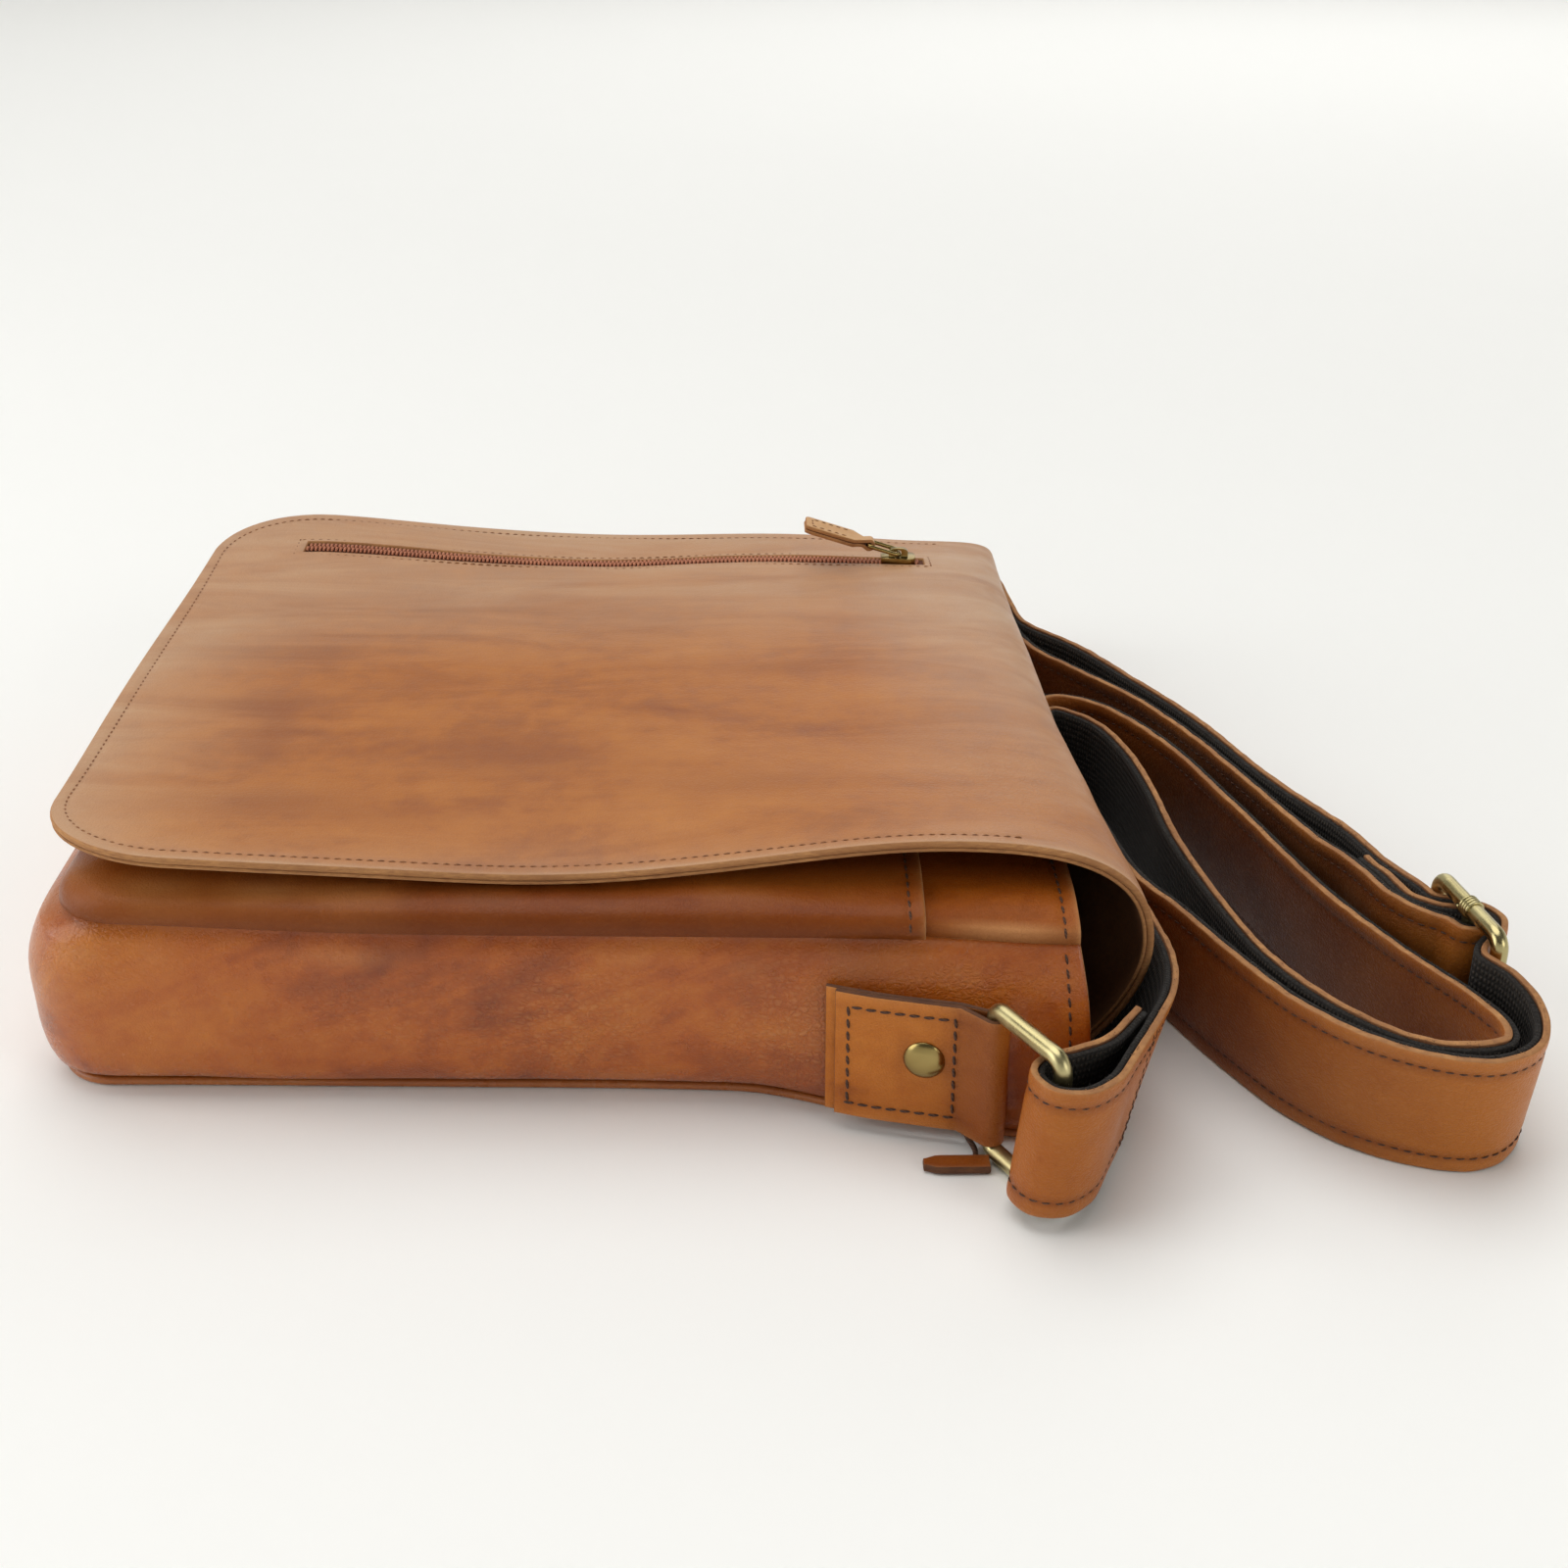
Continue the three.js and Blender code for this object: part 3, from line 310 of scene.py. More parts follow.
# finishes
class Graph:  # short ways to add and join shader nodes
    def __init__(self, name):
        self.mat = bpy.data.materials.new(name)
        self.mat.use_nodes = True
        self.nodes = self.mat.node_tree.nodes
        self.shader = self.nodes["Principled BSDF"]
        self.coord = self.nodes.new("ShaderNodeTexCoord")
        self.place = self.coord.outputs["Object"]

    def join(self, source, target):
        self.mat.node_tree.links.new(source, target)

    def stretched(self, scale, lean=0.0):  # lean turns the pattern about the y axis first
        vector = self.place
        for name, value in (("Rotation", (0.0, math.radians(lean), 0.0)), ("Scale", scale)):
            node = self.nodes.new("ShaderNodeMapping")
            node.inputs[name].default_value = value
            self.join(vector, node.inputs["Vector"])
            vector = node.outputs["Vector"]
        return vector

    def wobble(self, vector, scale, amount):  # the same place, pushed about a little
        noise = self.nodes.new("ShaderNodeTexNoise")
        noise.inputs["Scale"].default_value = scale
        self.join(vector, noise.inputs["Vector"])
        push = self.nodes.new("ShaderNodeVectorMath")
        push.operation = "MULTIPLY_ADD"
        push.inputs[1].default_value = (amount, amount, amount)
        self.join(noise.outputs["Color"], push.inputs[0])
        self.join(vector, push.inputs[2])
        return push.outputs["Vector"]

    def noise(self, vector, scale, detail=3.0, rough=0.5, distort=0.0):
        node = self.nodes.new("ShaderNodeTexNoise")
        node.inputs["Scale"].default_value = scale
        node.inputs["Detail"].default_value = detail
        node.inputs["Roughness"].default_value = rough
        node.inputs["Distortion"].default_value = distort
        self.join(vector, node.inputs["Vector"])
        return node.outputs["Fac"]

    def cells(self, vector, scale, feature="F1"):
        node = self.nodes.new("ShaderNodeTexVoronoi")
        node.feature = feature
        node.inputs["Scale"].default_value = scale
        self.join(vector, node.inputs["Vector"])
        return node.outputs["Distance"]

    def wave(self, vector, scale, distort=0.0, direction="X"):
        node = self.nodes.new("ShaderNodeTexWave")
        node.bands_direction = direction
        node.inputs["Scale"].default_value = scale
        node.inputs["Distortion"].default_value = distort
        self.join(vector, node.inputs["Vector"])
        return node.outputs["Fac"]

    def mark(self, name):
        node = self.nodes.new("ShaderNodeAttribute")
        node.attribute_name = name
        return node.outputs["Fac"]

    def sums(self, operation, a, b):
        node = self.nodes.new("ShaderNodeMath")
        node.operation = operation
        for value, socket in ((a, node.inputs[0]), (b, node.inputs[1])):
            if isinstance(value, (int, float)):
                socket.default_value = value
            else:
                self.join(value, socket)
        return node.outputs[0]

    def times(self, a, b):
        return self.sums("MULTIPLY", a, b)

    def plus(self, a, b):
        return self.sums("ADD", a, b)

    def span(self, value, low, high, outLow=0.0, outHigh=1.0):
        node = self.nodes.new("ShaderNodeMapRange")
        node.inputs["From Min"].default_value = low
        node.inputs["From Max"].default_value = high
        node.inputs["To Min"].default_value = outLow
        node.inputs["To Max"].default_value = outHigh
        self.join(value, node.inputs["Value"])
        return node.outputs["Result"]

    def tint(self, share, first, second):
        node = self.nodes.new("ShaderNodeMix")
        node.data_type = "RGBA"
        node.clamp_factor = True
        for value, socket in ((share, node.inputs[0]), (first, node.inputs[6]), (second, node.inputs[7])):
            if isinstance(value, tuple):
                socket.default_value = (*value, 1.0)
            else:
                self.join(value, socket)
        return node.outputs[2]

    def bump(self, height, strength, distance, normal=None):
        node = self.nodes.new("ShaderNodeBump")
        node.inputs["Strength"].default_value = strength
        node.inputs["Distance"].default_value = distance
        self.join(height, node.inputs["Height"])
        if normal is not None:
            self.join(normal, node.inputs["Normal"])
        return node.outputs["Normal"]

    def colour(self, socket):
        self.join(socket, self.shader.inputs["Base Color"])

    def roughness(self, socket):
        self.join(socket, self.shader.inputs["Roughness"])

    def normal(self, socket):
        self.join(socket, self.shader.inputs["Normal"])


def leatherFinish(name, light, main, dark, wornAndSheen, loopShade=(0.075, 0.02, 0.011), rough=(0.36, 0.56), gloss=0.3,
                  coat=0.05, polish=0.24, streak=0.5, mottle=0.6, grain=0.16, lean=0.0):
    g = Graph(name)
    broad = g.noise(g.place, 11, 4, 0.55, 0.4)
    streaks = g.noise(g.stretched((9, 46, 46), lean), 1.0, 5, 0.62, 0.9)
    fine = g.noise(g.place, 120, 5, 0.65)
    tone = g.plus(g.times(g.span(broad, 0.32, 0.68), mottle), g.times(g.span(streaks, 0.3, 0.7), streak))
    tone = g.plus(tone, g.span(fine, 0.3, 0.7, -0.18, 0.18))
    tone = g.plus(tone, g.times(g.mark("glow"), 0.45))
    base = g.tint(g.span(tone, 0.0, 0.55), dark, main)
    base = g.tint(g.span(tone, 0.5, 1.1), base, light)
    # this mark darkens toward the dark colour: painted shade in seams, grooves, recesses and under the flap,
    # and real smudges on the flap
    base = g.tint(g.times(g.mark("shade"), g.span(fine, 0.2, 0.7, 0.65, 1.0)), base, dark)
    # this mark lightens toward the worn colour: real wear on cut edges, and painted sheen and highlights on
    # the flap, the gusset's left end and the front's rolls
    base = g.tint(g.times(g.mark("wearAndSheen"), g.span(streaks, 0.25, 0.75, 0.45, 1.0)), base, wornAndSheen)
    # this mark paints the shade inside the strap's loops
    base = g.tint(g.times(g.mark("loopShadeMark"), g.span(broad, 0.3, 0.7, 1.0, 0.8)), base, loopShade)
    wrinkles = g.cells(g.wobble(g.stretched((420, 420, 640)), 0.7, 1.6), 1.0, "DISTANCE_TO_EDGE")
    # in creased patches the colour turns paler between the wrinkle lines: painted highlight on the wrinkle
    # crests
    base = g.tint(g.times(g.span(wrinkles, 0.02, 0.4, 0.0, 0.25), g.mark("crease")), base, wornAndSheen)
    pores = g.cells(g.place, 1500)
    creases = g.cells(g.wobble(g.place, 700, 0.0016), 1000, "DISTANCE_TO_EDGE")
    g.colour(g.tint(g.span(creases, 0.0, 0.08, 0.14, 0.0), base, dark))
    sheen = g.span(streaks, 0.3, 0.7, rough[1], rough[0])
    g.roughness(g.plus(sheen, g.span(fine, 0.3, 0.7, -0.05, 0.05)))
    surface = g.bump(g.plus(g.span(creases, 0.0, 0.16), g.times(pores, 0.4)), grain, 0.0004)
    surface = g.bump(g.noise(g.place, 60, 4, 0.55), 0.10, 0.0016, surface)
    g.normal(g.bump(g.times(g.span(wrinkles, 0.0, 0.3), g.mark("crease")), 0.4, 0.0007, surface))
    g.shader.inputs["Specular IOR Level"].default_value = gloss
    g.shader.inputs["Coat Weight"].default_value = coat
    g.shader.inputs["Coat Roughness"].default_value = polish
    return g.mat


def rawFinish(name, pale, deep, rough=0.86):
    g = Graph(name)
    fibre = g.noise(g.stretched((260, 260, 1400)), 1.0, 4, 0.7)
    spots = g.noise(g.place, 45, 4, 0.6)
    base = g.tint(g.span(fibre, 0.3, 0.7), deep, pale)
    g.colour(g.tint(g.span(spots, 0.42, 0.68, 0.0, 0.75), base, deep))
    g.roughness(g.span(fibre, 0.3, 0.7, rough - 0.08, rough + 0.06))
    g.normal(g.bump(fibre, 0.5, 0.0005))
    return g.mat


def suedeFinish(name, pale, deep):
    g = Graph(name)
    nap = g.noise(g.place, 900, 3, 0.7)
    broad = g.noise(g.place, 30, 4, 0.6)
    g.colour(g.tint(g.plus(g.span(nap, 0.3, 0.7, 0.0, 0.5), g.span(broad, 0.3, 0.7, 0.0, 0.5)), deep, pale))
    g.roughness(g.span(nap, 0.3, 0.7, 0.82, 0.95))
    g.normal(g.bump(nap, 0.4, 0.0005))
    return g.mat


def webbingFinish(name, thread, crest, ribs):
    g = Graph(name)
    flat = g.coord.outputs["UV"]
    weave = g.times(g.wave(flat, ribs * 1.6, 0.4, "X"), g.wave(flat, ribs, 0.6, "Y"))
    fluff = g.noise(g.place, 700, 3, 0.7)
    base = g.tint(g.times(weave, g.span(fluff, 0.25, 0.75, 0.4, 1.0)), thread, crest)
    dust = g.noise(g.place, 26, 5, 0.65)
    g.colour(g.tint(g.span(dust, 0.52, 0.8, 0.0, 0.35), base, crest))
    g.roughness(g.span(fluff, 0.3, 0.7, 0.84, 0.97))
    g.normal(g.bump(g.plus(weave, g.times(fluff, 0.5)), 0.85, 0.0009))
    return g.mat


def threadFinish(name, thread, crest):
    g = Graph(name)
    twist = g.wave(g.place, 420, 1.5, "DIAGONAL")
    fluff = g.noise(g.place, 60, 3, 0.6)
    g.colour(g.tint(g.times(twist, g.span(fluff, 0.3, 0.7, 0.3, 1.0)), thread, crest))
    g.roughness(g.span(fluff, 0.3, 0.7, 0.62, 0.8))
    g.normal(g.bump(twist, 0.4, 0.0003))
    return g.mat


def brassFinish(name, bright, dull, tarnish, rough=(0.22, 0.42)):
    g = Graph(name)
    patches = g.noise(g.place, 55, 3, 0.55, 0.5)
    brush = g.noise(g.place, 300, 3, 0.6)
    base = g.tint(g.span(patches, 0.36, 0.62), dull, bright)
    g.colour(g.tint(g.span(patches, 0.58, 0.74, 0.0, 0.7), base, tarnish))
    g.roughness(g.plus(g.span(patches, 0.35, 0.7, rough[0], rough[1]), g.span(brush, 0.3, 0.7, -0.02, 0.03)))
    g.normal(g.bump(patches, 0.05, 0.0004))
    g.shader.inputs["Metallic"].default_value = 1.0
    return g.mat


# the worn colours below also give the painted sheen on the flap, body, pocket and panel
flapTan = leatherFinish(
    "flapTan", light=(0.52, 0.188, 0.031), main=(0.405, 0.128, 0.019), dark=(0.25, 0.068, 0.015),
    wornAndSheen=(0.54, 0.33, 0.19), rough=(0.32, 0.46), gloss=0.22, streak=0.45, mottle=0.55)
bodyRusset = leatherFinish(
    "bodyRusset", light=(0.53, 0.16, 0.016), main=(0.39, 0.086, 0.006), dark=(0.19, 0.032, 0.0035),
    wornAndSheen=(0.60, 0.30, 0.11), rough=(0.22, 0.34), gloss=0.34, coat=0.24, polish=0.12, streak=0.62,
    mottle=0.55, grain=0.26, lean=24)
# the pocket's leather, darker than the body's as painted shade from the flap over it
pocketShadedRusset = leatherFinish(
    "pocketShadedRusset", light=(0.40, 0.115, 0.014), main=(0.29, 0.066, 0.007), dark=(0.13, 0.027, 0.004),
    wornAndSheen=(0.46, 0.19, 0.06), rough=(0.3, 0.42), gloss=0.14, polish=0.16, mottle=0.5, grain=0.22)
# the front panel's own more orange leather, also darkened as painted shade under the flap
panelOrange = leatherFinish(
    "panelOrange", light=(0.46, 0.13, 0.01), main=(0.33, 0.074, 0.005), dark=(0.14, 0.028, 0.003),
    wornAndSheen=(0.62, 0.30, 0.12), rough=(0.32, 0.42), gloss=0.1, coat=0.02, mottle=0.5, grain=0.28)
strapTan = leatherFinish(
    "strapTan", light=(0.53, 0.172, 0.023), main=(0.42, 0.118, 0.012), dark=(0.16, 0.032, 0.006),
    wornAndSheen=(0.52, 0.25, 0.10), loopShade=(0.03, 0.0062, 0.0042), rough=(0.3, 0.44), gloss=0.2, mottle=0.62,
    grain=0.3)
pullTan = leatherFinish(
    "pullTan", light=(0.66, 0.37, 0.15), main=(0.56, 0.28, 0.095), dark=(0.36, 0.15, 0.042),
    wornAndSheen=(0.64, 0.40, 0.2), rough=(0.4, 0.55), gloss=0.25)
rawEdge = rawFinish("rawEdge", (0.52, 0.255, 0.09), (0.29, 0.12, 0.04))
burntEdge = rawFinish("burntEdge", (0.19, 0.072, 0.025), (0.07, 0.024, 0.009))
suede = suedeFinish("suede", (0.30, 0.125, 0.045), (0.14, 0.05, 0.018))
# near black copy of the suede, for the insides of the gusset and the front panel: painted shade inside the
# bag
shadedInside = suedeFinish("shadedInside", (0.045, 0.024, 0.013), (0.014, 0.008, 0.005))
webbing = webbingFinish("webbing", (0.0095, 0.0068, 0.0048), (0.062, 0.045, 0.031), 15)
zipCloth = webbingFinish("zipCloth", (0.20, 0.06, 0.026), (0.36, 0.13, 0.06), 60)
zipCoil = threadFinish("zipCoil", (0.36, 0.105, 0.046), (0.62, 0.27, 0.14))
stitchBrown = threadFinish("stitchBrown", (0.17, 0.06, 0.017), (0.34, 0.14, 0.046))
stitchDark = threadFinish("stitchDark", (0.04, 0.015, 0.007), (0.12, 0.048, 0.02))
fibreDark = threadFinish("fibreDark", (0.014, 0.010, 0.007), (0.06, 0.042, 0.028))
fibreTan = threadFinish("fibreTan", (0.24, 0.11, 0.045), (0.46, 0.25, 0.11))
brass = brassFinish("brass", (0.55, 0.48, 0.25), (0.43, 0.365, 0.175), (0.30, 0.245, 0.11))
agedBrass = brassFinish("agedBrass", (0.36, 0.27, 0.10), (0.27, 0.19, 0.065), (0.16, 0.11, 0.04),
                        rough=(0.16, 0.28))
print("finishes made")


# bag body
body = dict(bottomX=-167, frontBottomX=-158, mouthX=126, mouthBulge=3, mouthFrom=112, cornerR=18,
            cornerEase=24, backThick=2.5, backMouthX=128, seamZ=57.6, gussetTopZ=55.6, sideHigh=60,
            nearY=-100, ripple=0.5, fineRipple=0.18, lipWave=0.9, soften=8, softFrom=40, softReach=30)
sideShape = [  # half widths of the bag at the front seam and, on the near side, at the back seam
    dict(x=-167, seam=137, nearBase=137, swell=6),
    dict(x=-60, seam=145, nearBase=139.7, swell=6),
    dict(x=30, seam=148, nearBase=143.2, swell=6),
    dict(x=80, seam=150, nearBase=159.5, swell=4),
    dict(x=126, seam=155, nearBase=168.5, swell=3),
]
gussetSection = [  # back seam to front seam: share of the swell, and how far the bottom stands out
    dict(level=0, out=-0.15, bottom=-0.5),
    dict(level=0.05, out=0.5, bottom=3),
    dict(level=0.18, out=0.93, bottom=5),
    dict(level=0.42, out=1, bottom=6.4),
    dict(level=0.7, out=0.86, bottom=8.2),
    dict(level=0.9, out=0.4, bottom=7.2),
    dict(level=1, out=-0.1, bottom=-0.6),
]
bodySags = [
    dict(x=0, y=142, reachX=80, reachY=48, high=-4.5),
    dict(x=118, y=145, reachX=55, reachY=40, high=-7.5),
]
cornerX = body["bottomX"] + body["cornerR"]


def seamHalf(x):
    return column(sideShape, "x", "seam", x)


def baseHalf(x, sign):
    return column(sideShape, "x", "nearBase", x) if sign < 0 else seamHalf(x)


def swell(x):
    return column(sideShape, "x", "swell", x)


def bodySag(x, y):
    return waves(bodySags, x, y)


def rimStations():  # places round the bag from the near end of the mouth to the far end
    turns = np.linspace(0, 90, 15)[1:]
    hem = body["mouthX"] - np.array([0, 1, 2.5, 4, 5.5, 7])
    xs = np.concatenate([hem, spread(body["mouthX"] - 10, cornerX, 3.2)])

    def side(sign):
        straight = [dict(x=x, sign=sign, turn=0) for x in xs]
        return straight + [dict(x=cornerX, sign=sign, turn=turn) for turn in turns]

    edge = seamHalf(body["bottomX"]) - body["cornerR"]
    return side(-1) + [dict(y=y) for y in spread(-edge, edge, 4)[1:-1]] + side(1)[::-1]


def rimPoint(station, level, sideOut, bottomOut):
    back = body["bottomX"] + (body["frontBottomX"] - body["bottomX"]) * level ** 3
    if "y" in station:
        return back - bottomOut, station["y"]
    x, sign = station["x"], station["sign"]
    turn = math.radians(station["turn"])
    reach = body["cornerR"] + sideOut + (bottomOut - sideOut) * math.sin(turn)
    past = rise((cornerX + body["cornerEase"] - x) / body["cornerEase"])  # the bottom's lean runs out here
    centreX = x + (back - body["bottomX"]) * past
    if sign < 0:
        nearMouth = np.clip((x - body["mouthFrom"]) / (body["mouthX"] - body["mouthFrom"]), 0, 1) ** 2
        centreX = centreX + body["mouthBulge"] * math.sin(math.pi * level) * nearMouth
    half = baseHalf(x, sign) + (seamHalf(x) - baseHalf(x, sign)) * level
    return centreX - reach * math.sin(turn), sign * (half - body["cornerR"] + reach * math.cos(turn))


stations = rimStations()
levels = np.concatenate([[0, 0.012, 0.03, 0.055, 0.09, 0.13, 0.18], np.linspace(0.24, 0.78, 10),
                         [0.83, 0.87, 0.905, 0.935, 0.96, 0.98, 1]])
gussetGrid = np.zeros((len(stations), len(levels), 3))
gussetLow = body["backThick"] + gap
for i, station in enumerate(stations):
    for j, level in enumerate(levels):
        swollen = float(swell(station.get("x", body["bottomX"])))
        out = float(column(gussetSection, "level", "out", level)) * swollen
        px, py = rimPoint(station, level, out, float(column(gussetSection, "level", "bottom", level)))
        topZ = body["gussetTopZ"] + float(bodySag(px, py))
        gussetGrid[i, j] = px, py, gussetLow + (topZ - gussetLow) * level
turning = rise((cornerX + body["softFrom"] - gussetGrid[1:-1, :, :1]) / body["softReach"])
for _ in range(body["soften"]):  # eases the turn from the sides into the bottom corners
    between = (gussetGrid[:-2] + 2 * gussetGrid[1:-1] + gussetGrid[2:]) / 4
    gussetGrid[1:-1] += (between - gussetGrid[1:-1]) * turning
middle = 10  # the level where the length round the bag is measured
runs, lvls = np.meshgrid(lengthAlong(gussetGrid[:, middle]), levels, indexing="ij")
acrossSide = lvls * body["sideHigh"]
gussetDents = [  # puckers and dents on the near side; y is the height here
    dict(x=-18, y=27, reachX=22, reachY=22, high=1.0),
    dict(x=42, y=28, reachX=24, reachY=22, high=1.2),
    dict(x=12, y=32, reachX=16, reachY=24, high=-0.7),
    dict(x=70, y=38, reachX=16, reachY=14, high=0.9),
    dict(x=-90, y=34, reachX=40, reachY=20, high=-0.6),
    dict(x=-140, y=36, reachX=14, reachY=16, high=0.7),
]
creased = [  # wrinkled patches on the near side
    dict(x=-15, y=28, reachX=22, reachY=20, high=1.0),
    dict(x=46, y=28, reachX=20, reachY=19, high=1.0),
    dict(x=-70, y=30, reachX=30, reachY=16, high=0.45),
    dict(x=96, y=44, reachX=22, reachY=10, high=0.5),
    dict(x=-150, y=46, reachX=16, reachY=10, high=0.5),
]
nearSide = (gussetGrid[..., 1] < body["nearY"]).astype(float)
dent = waves(gussetDents, gussetGrid[..., 0], gussetGrid[..., 2]) * nearSide
dent = dent + ripple(runs, acrossSide, 55, 3) * body["ripple"]
dent = dent + ripple(runs, acrossSide, 17, 8) * body["fineRipple"]
calm = 1 - 0.7 * bell(gussetGrid[..., 0] - cornerX, 30)  # the stiff corners stay smooth
lip = body["lipWave"] * np.clip(ripple(runs, lvls * 0, 120, 9), -1, 0.2) * bell(lvls - 0.06, 0.09)
push = dent * np.sin(np.pi * lvls) * calm - lip
gussetGrid = gussetGrid - gridNormals(gussetGrid) * push[..., None]
gussetX, gussetZ = gussetGrid[..., 0], gussetGrid[..., 2]
# darker round the left part of the tab
byTab = 0.5 * bell(gussetX - 66, 15) * nearSide
# paler patches in a band near the top
paleTopBand = 0.35 * bell(lvls - 0.86, 0.06) * np.clip(ripple(runs, acrossSide, 40, 5), 0, 1)
# painted shade towards the bottom, where the gusset meets the floor, and just under the front seam's roll;
# painted highlight on the left end
gussetMarks = dict(
    shade=np.clip(0.55 * np.exp(-lvls / 0.10) + 0.5 * np.exp(-(1 - lvls) / 0.07) + byTab, 0, 1),
    wearAndSheen=paleTopBand + 0.3 * bell(lvls - 0.6, 0.25) * bell(gussetX + 168, 10),
    crease=np.clip(waves(creased, gussetX, gussetZ) * nearSide + 0.08, 0, 1))
leatherSheet("gusset_shell", gussetGrid, 0, leather, [bodyRusset, rawEdge, shadedInside], marks=gussetMarks,
             stands=["gusset"], slot="body_leather")

backRings = [  # from the middle out, round the edge and back under
    dict(inset=60, z=2.5, edge=0),
    dict(inset=8, z=2.5, edge=0.2),
    dict(inset=1.2, z=2.5, edge=0.8),
    dict(inset=0.3, z=2.2, edge=0.9),
    dict(inset=0, z=1.5, edge=1),
    dict(inset=0, z=0.9, edge=1),
    dict(inset=0.35, z=0.25, edge=0.9),
    dict(inset=1.2, z=0, edge=0.8),
    dict(inset=8, z=0, edge=0.2),
    dict(inset=60, z=0, edge=0),
]


def backPanel():
    count = len(stations)
    ends = np.abs([s.get("x", 0) - body["mouthX"] for s in stations]) < 0.01
    points = []
    for ring in backRings:
        line = np.array([rimPoint(s, 0, -ring["inset"], -ring["inset"]) for s in stations])
        line[ends, 0] = body["backMouthX"] - ring["inset"]
        points.append(np.column_stack([line, np.full(count, ring["z"])]))
    last = (len(backRings) - 1) * count
    faces = bandFaces(len(backRings), count) + [list(range(count)), list(range(last, last + count))[::-1]]
    edge = np.repeat([ring["edge"] for ring in backRings], count)
    marks = dict(wearAndSheen=edge * 0.3, shade=edge * 0.5, crease=edge * 0)
    makePiece("back_sheet", np.concatenate(points), faces, [bodyRusset], marks=marks, stands=["back_panel"],
              slot="body_leather")


backPanel()
print("gusset and back made")

# front panel and pocket, with their rolled borders
front = dict(rollHigh=6.5, rollWide=24, crown=1.2, crownX=-25, crownReachX=110, crownReachY=80,
             pocketHemX=84, pocketLift=0.4, puff=0.7, finePuff=0.35, puffFrom=8, puffTo=40, puffFade=30,
             tuck=1.7, tuckReach=0.3, hemIn=4.0, hemDip=0.45, panelSink=0.35, pocketSink=0.4)
pocketTop = front["pocketLift"] + leather


def frontFace(x, across):
    wide, r = seamHalf(x), body["cornerR"]
    past = np.maximum(body["frontBottomX"] + r - x, 0)
    y = across * (wide - r + np.sqrt(np.maximum(r ** 2 - past ** 2, 0)))
    fromCorner = r - np.hypot(past, np.abs(y) - (wide - r))
    fromSides = np.minimum(x - body["frontBottomX"], wide - np.abs(y))
    depth = np.where((past > 0) & (np.abs(y) > wide - r), fromCorner, fromSides)
    q = 1 - np.clip(depth / front["rollWide"], 0, 1)
    crown = front["crown"] * bell(x - front["crownX"], front["crownReachX"]) * bell(y, front["crownReachY"])
    z = body["seamZ"] + bodySag(x, y) + front["rollHigh"] * np.sqrt(np.maximum(1 - q * q, 0)) + crown
    soft = rise(depth / front["puffFrom"]) * rise((front["puffTo"] - depth) / front["puffFade"])
    z = z + soft * front["puff"] * (ripple(x, y, 70, 21) + front["finePuff"] * ripple(x, y, 24, 22))
    z = z - front["tuck"] * np.exp(-np.maximum(depth, 0) / front["tuckReach"])
    return np.stack([x, y, z], -1), depth


def frontSheet(name, toX, outer, inner, mats, node, hemShade):
    roll = np.array([0, 0.35, 0.9, 1.8, 3, 4.5, 6.5, 9, 12, 16, 20, 25])
    hem = toX - np.array([9, 7, 5.2, 4.0, 3.1, 2.2, 1.3, 0.6, 0])
    xs = np.concatenate([body["frontBottomX"] + roll, spread(body["frontBottomX"] + 30, toX - 12, 5), hem])
    side = np.concatenate([1 - roll / seamHalf(body["bottomX"]), np.linspace(0.79, 0.04, 26)])
    across = np.concatenate([-side, [0], side[::-1]])
    grid, depth = frontFace(*np.meshgrid(xs, across, indexing="ij"))
    grid[..., 2] -= front["hemDip"] * bell(grid[..., 0] - (toX - front["hemIn"]), 0.9)
    x, y = grid[..., 0], grid[..., 1]
    # painted shade: dark in the tuck at the seam, towards the hem, inward of the roll and across the middle,
    # where the flap shades the front
    shade = 0.8 * np.exp(-depth / 2.2) + hemShade * np.exp(-(toX - x) / 14) + 0.25 * bell(depth - 20, 6)
    shade = shade + 0.7 * rise((depth - 14) / 14) + 0.5 * bell(x, 75) * bell(depth - 6, 9)
    # painted highlight on the roll, in patches
    wearAndSheen = 0.5 * bell(depth - 6, 4.5) * np.clip(0.5 + ripple(x, y, 45, 31), 0, 1)
    wearAndSheen = wearAndSheen * (0.2 + 1.8 * bell(x + 120, 60))  # most by the bottom corners
    # painted highlight on the panel's roll next to its seam near the mouth, and real wear on the hem's cut
    # edge
    wearAndSheen = wearAndSheen + 0.9 * bell(depth - 1.0, 1.2) * bell(x - 108, 16) + 0.7 * np.exp(-(toX - x) / 0.8)
    marks = dict(shade=np.clip(shade, 0, 1), wearAndSheen=wearAndSheen, crease=0.12)
    leatherSheet(name, grid, outer, inner, mats, marks=marks, stands=[node], slot="body_leather")


def frontLine(x, lift, count=500):  # a row of stitches from seam to seam, on the rolled borders too
    across = 0.9995 * np.sin(np.linspace(-math.pi / 2, math.pi / 2, count))
    line, ahead = (frontFace(np.full(count, x + step), across)[0] for step in (0.0, 0.5))
    normals = unit(np.cross(ahead - line, np.gradient(line, axis=0)))
    return line + normals * lift, normals


